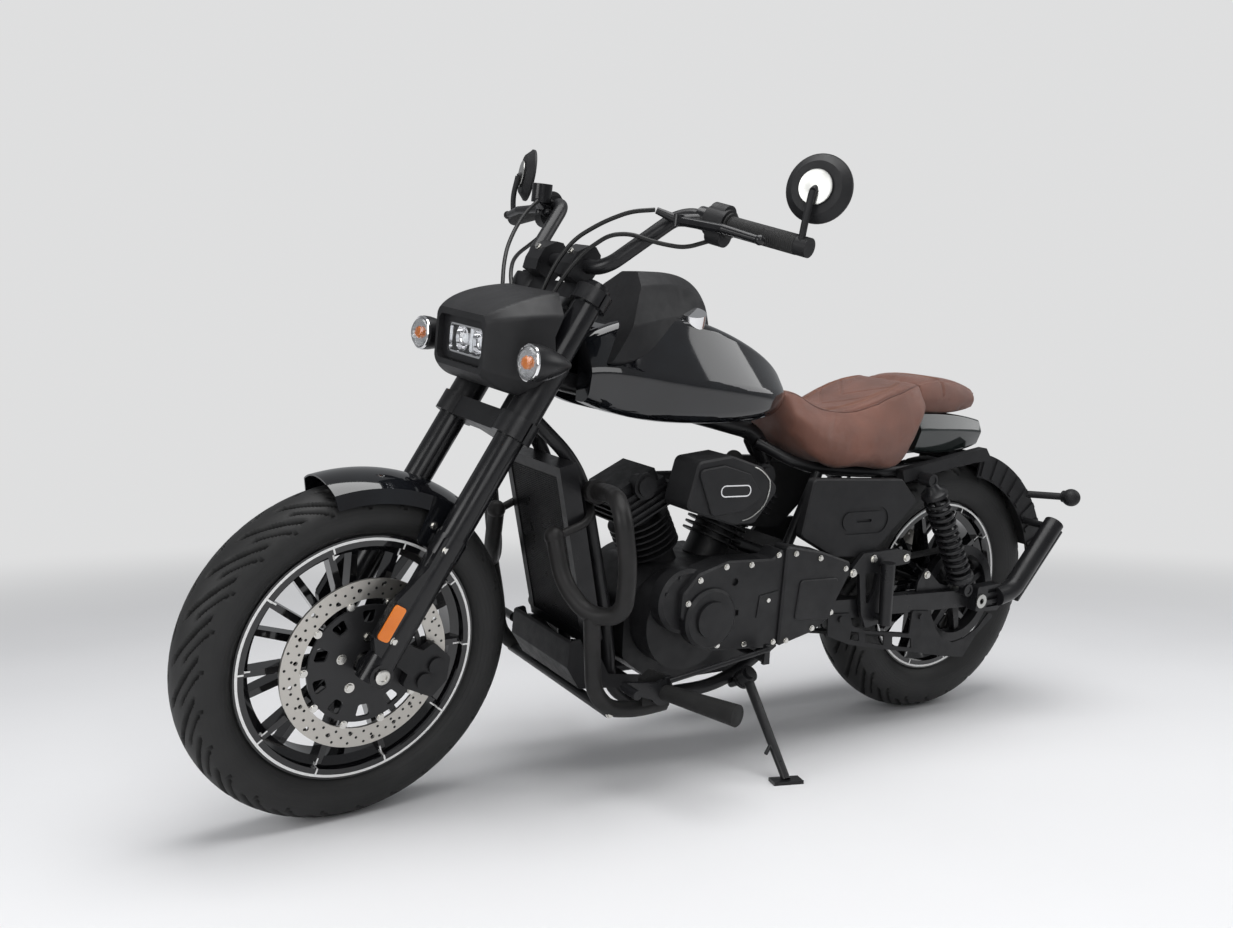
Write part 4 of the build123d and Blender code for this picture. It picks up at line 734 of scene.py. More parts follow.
def bolt_tree(name: str, radius: float, height: float, sides: int, finish: Finish) -> Tree:
    """A tree that sets a washer and a headed bolt on every point.

    Args:
        name: the tree's name.
        radius: the head's radius in millimetres.
        height: the head's height in millimetres.
        sides: sides of the head.
        finish: the bolts' finish.

    Returns:
        The tree.
    """
    made = Tree(name, {"Head radius": radius * MILLIMETRE, "Head height": height * MILLIMETRE})
    parts = []
    for share, wide, count in ((1.0, 1.0, sides), (0.28, 1.35, 20)):
        drum = made.add("GeometryNodeMeshCylinder")
        drum.inputs["Vertices"].default_value = count
        tall = made.add("ShaderNodeMath", operation="MULTIPLY")
        tall.inputs[1].default_value = share
        broad = made.add("ShaderNodeMath", operation="MULTIPLY")
        broad.inputs[1].default_value = wide
        made.join(made.number("Head height"), tall.inputs[0])
        made.join(made.number("Head radius"), broad.inputs[0])
        made.join(tall.outputs[0], drum.inputs["Depth"])
        made.join(broad.outputs[0], drum.inputs["Radius"])
        half = made.add("ShaderNodeMath", operation="MULTIPLY")
        half.inputs[1].default_value = 0.5
        made.join(tall.outputs[0], half.inputs[0])
        lift = made.add("ShaderNodeCombineXYZ")
        made.join(half.outputs[0], lift.inputs["Z"])
        move = made.add("GeometryNodeTransform")
        made.join(drum.outputs["Mesh"], move.inputs["Geometry"])
        made.join(lift.outputs[0], move.inputs["Translation"])
        parts.append(move.outputs[0])
    both = made.add("GeometryNodeJoinGeometry")
    for part in parts:
        made.join(part, both.inputs[0])
    facing = made.add("GeometryNodeInputNamedAttribute", data_type="FLOAT_VECTOR")
    facing.inputs["Name"].default_value = "facing"
    turn = made.add("FunctionNodeAlignRotationToVector", axis="Z")
    made.join(facing.outputs["Attribute"], turn.inputs["Vector"])
    spread = made.add("GeometryNodeInstanceOnPoints")
    made.join(made.entry.outputs["Geometry"], spread.inputs["Points"])
    made.join(both.outputs[0], spread.inputs["Instance"])
    made.join(turn.outputs[0], spread.inputs["Rotation"])
    made.close(spread.outputs[0], finish)
    return made


def coil_tree(name: str, turns: float, radius: float, wire: float, height: float, finish: Finish) -> Tree:
    """A tree that winds a coil spring up from the origin.

    Args:
        name: the tree's name.
        turns: turns of the wire.
        radius: the coil's radius in millimetres.
        wire: the wire's radius in millimetres.
        height: the coil's height in millimetres.
        finish: the spring's finish.

    Returns:
        The tree.
    """
    sizes = {"Turns": turns, "Coil radius": radius * MILLIMETRE, "Wire radius": wire * MILLIMETRE,
             "Coil height": height * MILLIMETRE}
    made = Tree(name, sizes)
    spiral = made.add("GeometryNodeCurveSpiral")
    spiral.inputs["Resolution"].default_value = 32
    made.join(made.number("Turns"), spiral.inputs["Rotations"])
    made.join(made.number("Coil radius"), spiral.inputs["Start Radius"])
    made.join(made.number("Coil radius"), spiral.inputs["End Radius"])
    made.join(made.number("Coil height"), spiral.inputs["Height"])
    wire_round = made.add("GeometryNodeCurvePrimitiveCircle")
    wire_round.inputs["Resolution"].default_value = 12
    made.join(made.number("Wire radius"), wire_round.inputs["Radius"])
    skin = made.add("GeometryNodeCurveToMesh")
    skin.inputs["Fill Caps"].default_value = True
    made.join(spiral.outputs[0], skin.inputs["Curve"])
    made.join(wire_round.outputs[0], skin.inputs["Profile Curve"])
    made.close(skin.outputs[0], finish)
    return made


def bead_tree(name: str, radius: float, finish: Finish) -> Tree:
    """A tree that runs a round bead along a curve.

    Args:
        name: the tree's name.
        radius: the bead's radius in millimetres.
        finish: the bead's finish.

    Returns:
        The tree.
    """
    made = Tree(name, {"Bead radius": radius * MILLIMETRE})
    section = made.add("GeometryNodeCurvePrimitiveCircle")
    section.inputs["Resolution"].default_value = 10
    made.join(made.number("Bead radius"), section.inputs["Radius"])
    skin = made.add("GeometryNodeCurveToMesh")
    skin.inputs["Fill Caps"].default_value = True
    made.join(made.entry.outputs["Geometry"], skin.inputs["Curve"])
    made.join(section.outputs[0], skin.inputs["Profile Curve"])
    made.close(skin.outputs[0], finish)
    return made


def stitch_tree(name: str, pitch: float, length: float, radius: float, finish: Finish) -> Tree:
    """A tree that sews stitches along a curve.

    Args:
        name: the tree's name.
        pitch: distance from stitch to stitch in millimetres.
        length: a stitch's length in millimetres.
        radius: the thread's radius in millimetres.
        finish: the thread's finish.

    Returns:
        The tree.
    """
    made = Tree(name, {"Pitch": pitch * MILLIMETRE, "Stitch length": length * MILLIMETRE,
                       "Thread radius": radius * MILLIMETRE})
    marks = made.add("GeometryNodeCurveToPoints", mode="LENGTH")
    made.join(made.entry.outputs["Geometry"], marks.inputs["Curve"])
    made.join(made.number("Pitch"), marks.inputs["Length"])
    thread = made.add("GeometryNodeMeshCylinder")
    thread.inputs["Vertices"].default_value = 6
    made.join(made.number("Thread radius"), thread.inputs["Radius"])
    made.join(made.number("Stitch length"), thread.inputs["Depth"])
    sew = made.add("GeometryNodeInstanceOnPoints")
    made.join(marks.outputs["Points"], sew.inputs["Points"])
    made.join(thread.outputs["Mesh"], sew.inputs["Instance"])
    made.join(marks.outputs["Rotation"], sew.inputs["Rotation"])
    made.close(sew.outputs[0], finish)
    return made


def slat_tree(name: str, sizes: Point, count: int, step: Point, finish: Finish) -> Tree:
    """A tree that repeats a thin slat in a row.

    Args:
        name: the tree's name.
        sizes: the slat's sides in millimetres.
        count: how many slats.
        step: the way from one to the next in millimetres.
        finish: the slats' finish.

    Returns:
        The tree.
    """
    made = Tree(name, {"Length": sizes[0] * MILLIMETRE, "Width": sizes[1] * MILLIMETRE,
                       "Thickness": sizes[2] * MILLIMETRE})
    row = made.add("GeometryNodeMeshLine")
    row.inputs["Count"].default_value = count
    row.inputs["Offset"].default_value = tuple(value * MILLIMETRE for value in step)
    size = made.add("ShaderNodeCombineXYZ")
    for label, slot in (("Length", "X"), ("Width", "Y"), ("Thickness", "Z")):
        made.join(made.number(label), size.inputs[slot])
    slat = made.add("GeometryNodeMeshCube")
    made.join(size.outputs[0], slat.inputs["Size"])
    spread = made.add("GeometryNodeInstanceOnPoints")
    made.join(row.outputs[0], spread.inputs["Points"])
    made.join(slat.outputs["Mesh"], spread.inputs["Instance"])
    made.close(spread.outputs[0], finish)
    return made


# Dressing


@dataclass
class NodeFinishes:
    """Which finish each carried-over node takes."""

    table: dict[str, Finish] = field(default_factory=lambda: {
        "fuel_tank": GLOSS, "front_fender": GLOSS, "tail_cover": TAIL_GLOSS,
        "tank_console": MATT, "headlight_cowl": COWL, "side_panels": MATT, "tail_strut": MATT,
        "primary_cover": CAST, "belt_cover": CAST, "case_cover": CAST, "intake_cover": MATT,
        "crankcase": CAST, "cylinders": CAST, "radiator": SATIN, "radiator_shroud": MATT,
        "exhaust": SOOTY, "frame": SATIN, "swingarm": SATIN, "crash_bar": SOOTY, "cross_rod": SATIN,
        "footrests": RUBBER, "foot_controls": SATIN, "peg_brackets": SATIN, "passenger_pegs": SATIN,
        "stand_bracket": SATIN, "side_stand": SATIN, "hugger_bracket": SATIN, "rear_hugger": MATT,
        "belt_guard": MATT, "rear_lamps": MATT, "drive_belt": RUBBER, "front_pulley": BRUSHED,
        "rear_axle": BRUSHED, "front_axle": BRUSHED, "rear_caliper": CAST, "front_caliper": CAST,
        "fork_sliders": FORK_BLACK, "fork_tubes": FORK_BLACK, "fork_covers": SATIN, "fork_clamps": SATIN,
        "handlebar": SATIN, "bar_risers": SATIN, "control_pods": MATT, "levers": FORK_BLACK,
        "mirrors": MATT, "control_cables": CABLE, "fuel_cap": CHROME, "rear_pulley": SATIN,
    })

    def wheel_finishes(self) -> dict[str, Finish]:
        """The finishes that follow an axle.

        Returns:
            The wheels' and rotors' finishes by node.
        """
        (front, front_way), (rear, rear_way) = MACHINE.front_spin, MACHINE.rear_spin
        front_at = {"centre": tuple(front), "axis": tuple(front_way)}
        rear_at = {"centre": tuple(rear), "axis": tuple(rear_way)}
        black = ((0.006, 0.006, 0.007), (0.010, 0.010, 0.011))
        tread = ((0.007, 0.007, 0.007), (0.012, 0.012, 0.012))
        return {
            "front_rim": RimFinish("front_wheel_paint", *black, 0.09, 0.14, coat=0.5, **front_at),
            "rear_rim": RimFinish("rear_wheel_paint", *black, 0.09, 0.14, coat=0.5, lip=0.209,
                                  flange=0.0525, **rear_at),
            "front_disc": RotorFinish("front_rotor", *black, 0.3, 0.4, inner=0.1185, **front_at),
            "rear_disc": RotorFinish("rear_rotor", *black, 0.3, 0.4, inner=0.082, **rear_at),
            "front_tyre": TyreFinish("front_tyre_rubber", *tread, 0.48, 0.66, **front_at),
            "rear_tyre": TyreFinish("rear_tyre_rubber", *tread, 0.48, 0.66, shoulder=0.299, **rear_at),
        }

    def grip_finish(self) -> Finish:
        """Ribbed rubber along the left grip's line, which serves both grips."""
        place = MACHINE.place(Body.STEERING)
        inner = place @ (Vector((977.0, 282.0, 1132.0)) * MILLIMETRE)
        outer = place @ (Vector((947.0, 434.0, 1116.0)) * MILLIMETRE)
        return RibbedFinish("ribbed_grip_rubber", (0.012, 0.012, 0.012), (0.018, 0.018, 0.018), 0.55, 0.7,
                            start=tuple(inner), along=tuple((outer - inner).normalized()))

    def dress(self) -> None:
        """Give every carried-over node its finish."""
        finishes = {**self.table, **self.wheel_finishes(), "grips": self.grip_finish()}
        for node, finish in finishes.items():
            piece = bpy.data.objects[node]
            for slot in piece.material_slots:
                slot.material = finish.material()
            log.info("%s in %s", node, finish.name)


# Saddle


@dataclass
class Cushion:
    """A padded seat: swollen by cloth pressure from its solid, then seamed and stitched."""

    name: str
    node: str
    voxel: float = 6.0
    inset: float = 4.0
    pressure: float = 4.0
    cap: float = 6.0
    frames: int = 12
    fill: float = 0.8
    seam_depth: float = 3.2
    seam_width: float = 3.4
    top_slope: float = 0.15

    def seams(self, x: float, y: float) -> float:
        """How deep the sewn lines pull the cover in at a plan point, from 0 to 1."""
        return 0.0

    def body(self) -> bpy.types.Object:
        """The solid's copy, merged, remeshed evenly and drawn in a little.

        Returns:
            The object that the cloth starts from.
        """
        source = bpy.data.objects[self.node]
        mesh = source.data.copy()
        bm = bmesh.new()
        bm.from_mesh(mesh)
        bmesh.ops.remove_doubles(bm, verts=bm.verts[:], dist=0.00005)
        bmesh.ops.recalc_face_normals(bm, faces=bm.faces[:])
        bm.to_mesh(mesh)
        bm.free()
        piece = bpy.data.objects.new(self.name, mesh)
        bpy.context.scene.collection.objects.link(piece)
        remesh = piece.modifiers.new("remesh", "REMESH")
        remesh.mode = "VOXEL"
        remesh.voxel_size = self.voxel * MILLIMETRE
        even = piece.modifiers.new("even", "SMOOTH")
        even.iterations = 6
        self.bake(piece)
        for vertex in piece.data.vertices:
            vertex.co -= vertex.normal * self.inset * MILLIMETRE
        return piece

    @staticmethod
    def bake(piece: bpy.types.Object) -> None:
        """Apply the piece's modifiers to its mesh.

        Args:
            piece: the object with live modifiers.
        """
        graph = bpy.context.evaluated_depsgraph_get()
        made = bpy.data.meshes.new_from_object(piece.evaluated_get(graph))
        piece.modifiers.clear()
        piece.data = made

    def swell(self, piece: bpy.types.Object) -> None:
        """Blow the cover up with cloth pressure, as far as the cap lets each point move.

        Args:
            piece: the drawn-in body.
        """
        start = [vertex.co.copy() for vertex in piece.data.vertices]
        cloth = piece.modifiers.new("cloth", "CLOTH")
        settings = cloth.settings
        settings.use_pressure = True
        settings.uniform_pressure_force = self.pressure
        settings.effector_weights.gravity = 0.0
        settings.quality = 3
        settings.tension_stiffness = 18
        settings.bending_stiffness = 2.0
        cloth.collision_settings.use_collision = False
        scene = bpy.context.scene
        for moment in range(1, self.frames + 1):
            scene.frame_set(moment)
        self.bake(piece)
        scene.frame_set(1)
        for vertex, before in zip(piece.data.vertices, start):
            move = vertex.co - before
            if move.length > self.cap * MILLIMETRE:
                vertex.co = before + move.normalized() * self.cap * MILLIMETRE

    def sew(self, piece: bpy.types.Object) -> None:
        """Draw the cover in along its sewn lines.

        Args:
            piece: the swollen and smoothed body.
        """
        back = MACHINE.chassis.inverted()
        for vertex in piece.data.vertices:
            spot = (back @ vertex.co) / MILLIMETRE
            depth = self.seams(spot.x, spot.y) if vertex.normal.z > self.top_slope else 0.0
            if depth:
                vertex.co -= vertex.normal * depth * self.seam_depth * MILLIMETRE

    def make(self) -> bpy.types.Object:
        """Build the cushion and stand it for its solid.

        Returns:
            The cushion.
        """
        piece = self.body()
        self.swell(piece)
        even = piece.modifiers.new("even", "SMOOTH")
        even.iterations = 3
        finer = piece.modifiers.new("finer", "SUBSURF")
        finer.levels = finer.render_levels = 1
        self.bake(piece)
        self.sew(piece)
        mesh = piece.data
        bpy.data.objects.remove(piece)
        made = publish(self.name, mesh, LEATHER, Body.CHASSIS, 60.0)
        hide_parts(self.node)
        return made

    def trace(self, cover: bpy.types.Object, plan: Sequence[tuple[float, float]],
              lift: float) -> list[Vector]:
        """Lay a plan line on the cover from above.

        Args:
            cover: the finished cushion.
            plan: plan points in the machine's millimetres.
            lift: how far above the cover the line lies, in millimetres.

        Returns:
            The line's points in metres.
        """
        tree = BVHTree.FromObject(cover, bpy.context.evaluated_depsgraph_get())
        down = -(MACHINE.turn @ Vector((0, 0, 1)))
        points = []
        for (x0, y0), (x1, y1) in zip(plan, plan[1:]):
            steps = max(2, int(math.hypot(x1 - x0, y1 - y0) / 9))
            for index in range(steps):
                share = index / steps
                spot = Vector((x0 + (x1 - x0) * share, y0 + (y1 - y0) * share, 1100.0))
                start = MACHINE.chassis @ (spot * MILLIMETRE)
                hit, normal, _, _ = tree.ray_cast(start, down)
                if hit is not None:
                    points.append(hit + normal * lift * MILLIMETRE)
        return points


def along_line(x: float, table: Sequence[tuple[float, float]]) -> float:
    """Read a table of x and value whose x falls from row to row.

    Args:
        x: where to read it.
        table: rows of x and value.

    Returns:
        The value at x.
    """
    for (x0, v0), (x1, v1) in zip(table, table[1:]):
        if x1 <= x <= x0:
            return v1 + (v0 - v1) * (x - x1) / (x0 - x1)
    return table[0][1] if x > table[0][0] else table[-1][1]


def notch(distance: float, width: float) -> float:
    """A round groove's depth at a distance from its line."""
    return math.exp(-(distance / width) ** 2)


@dataclass
class Saddle(Cushion):
    """The rider's saddle: piped top edges, a sewn centre panel and a crossed pattern of seams."""

    edge: Sequence[tuple[float, float]] = ((560, 40), (500, 68), (430, 90), (340, 110), (262, 111),
                                           (225, 103), (200, 92))
    panel: Sequence[tuple[float, float]] = ((545, 22), (490, 38), (430, 58), (360, 80), (290, 88),
                                            (235, 70), (205, 52))
    chevrons: Sequence[float] = (470.0, 410.0, 350.0)

    def seams(self, x: float, y: float) -> float:
        """The depth of the edge, panel and chevron seams.

        Args:
            x: distance ahead of the rear axle in millimetres.
            y: distance to the left in millimetres.

        Returns:
            The depth from 0 to 1.
        """
        side = abs(y)
        depth = 0.9 * notch(side - along_line(x, self.edge), self.seam_width)
        if 205 < x < 545:
            depth = max(depth, notch(side - along_line(x, self.panel), self.seam_width))
        if side < along_line(x, self.panel):
            for start in self.chevrons:
                depth = max(depth, 0.8 * notch((x - start + side * 0.9) * 0.75, 3.0))
        return depth

    def trim(self, cover: bpy.types.Object) -> None:
        """Run the piping along the top edges and stitch both sides of the panel seams.

        Args:
            cover: the finished saddle.
        """
        for side, label in ((1, "left"), (-1, "right")):
            plan = [(x, side * wide) for x, wide in self.edge]
            bead = bead_tree(f"{label}_piping", 2.3, PIPING).grow(line_curve(self.trace(cover, plan, 0.6)))
            publish(f"saddle_piping_{label}", bead, PIPING, Body.CHASSIS)
            for shift in (5.5, -5.5):
                row = [(x, side * (wide + shift)) for x, wide in self.panel[:-1]]
                sewn = stitch_tree(f"{label}_stitches", 5.0, 3.4, 0.55,
                                   THREAD).grow(line_curve(self.trace(cover, row, 0.35)))
                publish(f"saddle_stitches_{label}_{'outer' if shift > 0 else 'inner'}", sewn, THREAD,
                        Body.CHASSIS)


@dataclass
class Pad(Cushion):
    """The passenger's pad with its cross seam."""

    cross: float = 118.0
    edge: float = 82.0

    def seams(self, x: float, y: float) -> float:
        """The depth of the cross seam and the edge seam at a plan point."""
        return max(notch(x - self.cross, 3.6), 0.8 * notch(abs(y) - self.edge, self.seam_width))

    def trim(self, cover: bpy.types.Object) -> None:
        """Stitch both sides of the cross seam.

        Args:
            cover: the finished pad.
        """
        for shift, label in ((5.0, "front"), (-5.0, "rear")):
            row = [(self.cross + shift, -84.0), (self.cross + shift, 0.0), (self.cross + shift, 84.0)]
            sewn = stitch_tree(f"{label}_cross_stitches", 5.0, 3.4, 0.55,
                               THREAD).grow(line_curve(self.trace(cover, row, 0.35)))
            publish(f"pad_stitches_{label}", sewn, THREAD, Body.CHASSIS)


# Lamps


@dataclass
class HeadLamp:
    """The lamp unit: bezel, chrome bowls, a projector and a clear cover."""

    face: float = -183.0
    depth: float = 39.0
    half_width: float = 77.0
    centre_z: float = 883.0
    half_height: float = 40.0

    def lay(self, y: float, z: float, back: float) -> Point:
        """A point of the lamp's face at a depth behind it."""
        return (1500.0 + self.face - back, y, self.centre_z + z)

    def ring(self, outer: tuple[float, float, float], inner: tuple[float, float, float],
             front: float, back: float) -> bpy.types.Mesh:
        """A flat frame between two rounded rectangles.

        Args:
            outer: half width, half height and corner of the outside.
            inner: half width, half height and corner of the opening.
            front: depth of its front.
            back: depth of its back.

        Returns:
            The mesh.
        """
        wide, tight = rounded(*outer), rounded(*inner)
        profile = [(wide, back), (wide, front + 1.5), (wide, front), (tight, front), (tight, back),
                   (wide, back)]
        rings = [[self.lay(y, z, deep) for y, z in outline] for outline, deep in profile]
        return Stock().loops(rings, caps=False).mesh(MACHINE.steered)

    def make(self) -> None:
        """Build the lamp and stand it for its node."""
        outer = (self.half_width, self.half_height, 8.0)
        shell = publish("headlamp_bezel", self.ring(outer, (60.0, 27.0, 9.0), 0.0, self.depth), SATIN,
                        Body.STEERING)
        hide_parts("headlight_lamp")
        trim = publish("headlamp_chrome_trim", self.ring((60.5, 27.5, 9.0), (56.5, 23.5, 8.0), 2.0, 9.0),
                       CHROME, Body.STEERING)
        back = Stock().slab(rounded(59, 26, 8), self.depth - 3, self.depth - 6,
                            self.lay).mesh(MACHINE.steered)
        publish("headlamp_back", back, BRUSHED, Body.STEERING)
        for y, label in ((30.0, "left"), (-30.0, "right")):
            start = self.lay(y, 0.0, 34.0)
            bowl = [(0.0, 3.0), (1.5, 9.0), (6.0, 17.0), (14.0, 21.5), (20.0, 22.5), (20.0, 24.0),
                    (13.0, 23.0),
                    (5.0, 18.5), (-0.5, 9.0), (-1.5, 3.0)]
            publish(f"headlamp_bowl_{label}", Stock().turned(start, (1, 0, 0), bowl).mesh(MACHINE.steered),
                    CHROME, Body.STEERING)
            eye = [(1.0, 0.5), (1.0, 9.0), (6.0, 10.5), (13.0, 9.0), (16.5, 5.0), (17.5, 0.5)]
            publish(f"headlamp_projector_{label}",
                    Stock().turned(start, (1, 0, 0), eye).mesh(MACHINE.steered), LAMP_WHITE, Body.STEERING)
        bar = Stock().slab(rounded(5, 22, 3), 33.0, 16.0, self.lay).mesh(MACHINE.steered, 0.8)
        publish("headlamp_light_bar", bar, LAMP_WHITE, Body.STEERING)
        cover = Stock().slab(rounded(58.5, 25.5, 8), 7.5, 5.5, self.lay).mesh(MACHINE.steered)
        glass = publish("headlamp_cover", cover, GLASS, Body.STEERING)


@dataclass
class FrontSignals:
    """Bullet signals: black shells, chrome rings, fluted clear lenses and amber bulbs."""

    face: Point = (1302.0, 190.0, 872.0)
    tip: Point = (1216.0, 190.0, 868.0)

    def make(self) -> None:
        """Build both signals and stand them for their node."""
        first = None
        for side, label in ((1, "left"), (-1, "right")):
            face = Vector((self.face[0], side * self.face[1], self.face[2]))
            tip = Vector((self.tip[0], side * self.tip[1], self.tip[2]))
            way = (tip - face).normalized()
            shell = [(2.0, 31.0), (4.0, 33.0), (16.0, 32.6), (36.0, 28.5), (58.0, 21.0), (76.0, 12.0),
                     (86.0, 6.0),
                     (86.0, 1.0), (6.0, 1.0), (6.0, 29.0), (2.0, 29.5)]
            body = publish(f"signal_shell_{label}",
                           Stock().turned(tuple(face), tuple(way),
                                          shell).mesh(MACHINE.steered), SATIN, Body.STEERING)
            stalk = Stock().turned((1226.0, side * 138.6, 865.0), (0, side, 0),
                                   [(0, 0.5), (0, 11), (4, 9.5), (46, 8.5), (46, 0.5)])
            publish(f"signal_stalk_{label}", stalk.mesh(MACHINE.steered), SATIN, Body.STEERING)
            if first is None:
                first = body
                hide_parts("front_signals")
            ring = [(-1.5, 29.4), (-2.5, 30.5), (-1.5, 32.2), (2.2, 32.4), (2.2, 29.4)]
            publish(f"signal_ring_{label}",
                    Stock().turned(tuple(face), tuple(way),
                                   ring).mesh(MACHINE.steered), CHROME, Body.STEERING)
            dome = [(1.5, 29.2), (-3.0, 28.4), (-8.0, 25.0), (-12.0, 19.0), (-14.5, 11.0), (-15.2, 0.5),
                    (-13.2, 0.5),
                    (-12.6, 10.5), (-10.2, 18.0), (-6.6, 23.4), (-2.2, 26.6), (1.5, 27.2)]
            lens = publish(f"signal_lens_{label}",
                           Stock().turned(tuple(face), tuple(way),
                                          dome).mesh(MACHINE.steered), SMOKED, Body.STEERING)
            bowl = [(3.5, 1.0), (3.2, 14.0), (0.5, 24.0), (-0.5, 26.5), (2.0, 27.0), (5.0, 20.0),
                    (5.5, 1.0)]
            publish(f"signal_bowl_{label}",
                    Stock().turned(tuple(face), tuple(way),
                                   bowl).mesh(MACHINE.steered), CHROME, Body.STEERING)
            bulb = [(3.0, 0.5), (3.0, 7.0), (-1.0, 10.5), (-5.0, 11.5), (-9.0, 8.5), (-11.0, 0.5)]
            publish(f"signal_bulb_{label}",
                    Stock().turned(tuple(face), tuple(way),
                                   bulb).mesh(MACHINE.steered), AMBER, Body.STEERING)


@dataclass
class TailLamp:
    """A red lamp in a bezel, let into the back of the tail."""

    def make(self) -> None:
        """Build the lamp and its bezel."""
        def lay(y: float, z: float, back: float) -> Point:
            return (-40.0 - back, y, 722.0 + z)

        bezel = Stock().slab(rounded(62, 17, 12), -6.0, 4.0, lay).mesh(MACHINE.chassis, 1.2)
        publish("tail_lamp_bezel", bezel, SATIN, Body.CHASSIS)
        lens = Stock().slab(rounded(57, 13, 10), 0.0, 8.0, lay).mesh(MACHINE.chassis, 2.2, 3)
        publish("tail_lamp_lens", lens, RED, Body.CHASSIS)


# Running gear


@dataclass
class Tyre:
    """A tyre with round crown, full sidewalls and grooves swept back from the middle."""

    node: str
    body: Body
    radius: float
    half_width: float
    tread: float
    shoulder: float
    seat: float
    seat_half: float
    pitches: int = 26
    steps: int = 28
    sweep: float = 1.45
    groove: float = 5.2

    def arc(self, start: tuple[float, float], middle: tuple[float, float], end: tuple[float, float],
            steps: int) -> list[tuple[float, float]]:
        """Points of the arc through three points.

        Args:
            start: its first point.
            middle: a point on it.
            end: its last point.
            steps: how many pieces it's cut into.

        Returns:
            The points without the last.
        """
        (ax, ay), (bx, by), (cx, cy) = start, middle, end
        scale = 2 * (ax * (by - cy) + bx * (cy - ay) + cx * (ay - by))
        squares = [x * x + y * y for x, y in (start, middle, end)]
        ox = (squares[0] * (by - cy) + squares[1] * (cy - ay) + squares[2] * (ay - by)) / scale
        oy = (squares[0] * (cx - bx) + squares[1] * (ax - cx) + squares[2] * (bx - ax)) / scale
        reach = math.hypot(ax - ox, ay - oy)
        turns = [math.atan2(y - oy, x - ox) for x, y in (start, middle, end)]
        first = (turns[1] - turns[0] + math.pi) % math.tau - math.pi
        second = (turns[2] - turns[1] + math.pi) % math.tau - math.pi
        span = first + second
        return [(ox + reach * math.cos(turns[0] + span * index / steps),
                 oy + reach * math.sin(turns[0] + span * index / steps))
                for index in range(steps)]

    def outline(self) -> list[tuple[float, float]]:
        """The section as radii and distances along the axle, round from the inner seat."""
        lip = self.seat + 13.0
        waist = (lip + self.shoulder) / 2
        seat = self.seat + 0.05
        points = [(seat, -self.seat_half), (seat, 0.0), (seat, self.seat_half)]
        points += self.arc((lip, self.seat_half), (waist, self.half_width), (self.shoulder, self.tread), 12)
        points += self.arc((self.shoulder, self.tread), (self.radius, 0.0), (self.shoulder, -self.tread),
                           44)
        points += self.arc((self.shoulder, -self.tread), (waist, -self.half_width), (lip, -self.seat_half),
                           12)
        return points + [(lip, -self.seat_half)]

    def cut(self, share: float, along: float) -> float:
        """How far a groove sinks a point of the tread.

        Args:
            share: the point's place round the tyre, in pitches.
            along: its distance along the axle.

        Returns:
            The depth in millimetres.
        """
        side = abs(along)
        lag = 0.5 if along > 0 else 0.0
        turn = (share + lag + self.sweep * (side / self.tread) ** 1.4) % 1.0
        long_cut = self.edge(abs(turn - 0.5), 0.105) * self.edge(abs(side - self.tread * 0.56),
                                                                self.tread * 0.40)
        short_cut = self.edge(0.5 - abs(turn - 0.5), 0.06) * self.edge(abs(side - self.tread * 0.86),
                                                                self.tread * 0.26)
        return self.groove * max(long_cut, short_cut)

    @staticmethod
    def edge(distance: float, width: float) -> float:
        """One inside a width, falling to nothing over a sixth of it."""
        return max(0.0, min(1.0, (width - distance) / (width / 6) + 0.5))

    def make(self) -> None:
        """Build the tyre and stand it for its node."""
        spot, way = MACHINE.front_spin if self.body is Body.FRONT_WHEEL else MACHINE.rear_spin
        axis = Vector(way).normalized()
        first = axis.orthogonal().normalized()
        second = axis.cross(first)
        section = self.outline()
        bm = bmesh.new()
        # Each point's share of the groove depth; the tyre's finish paints shade into the grooves from it.
        groove_shade_layer = bm.verts.layers.float.new("groove")
        rings = []
        total = self.pitches * self.steps
        for index in range(total):
            angle = math.tau * index / total
            out = first * math.cos(angle) + second * math.sin(angle)
            ring = []
            for radius, along in section:
                sunk = self.cut(index / self.steps, along) if radius > self.shoulder - 8.0 else 0.0
                made = bm.verts.new(Vector(spot) + (out * (radius - sunk) + axis * along) * MILLIMETRE)
                made[groove_shade_layer] = sunk / self.groove
                ring.append(made)
            rings.append(ring)
        count = len(section)
        for near, far in zip(rings, rings[1:] + rings[:1]):
            for index in range(count):
                after = (index + 1) % count
                bm.faces.new((near[index], near[after], far[after], far[index]))
        bmesh.ops.recalc_face_normals(bm, faces=bm.faces[:])
        mesh = bpy.data.meshes.new(self.node + "_treaded")
        bm.to_mesh(mesh)
        bm.free()
        finish = NodeFinishes().wheel_finishes()[self.node]
        made = publish(self.node + "_treaded", mesh, finish, self.body, 40.0)
        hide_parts(self.node)


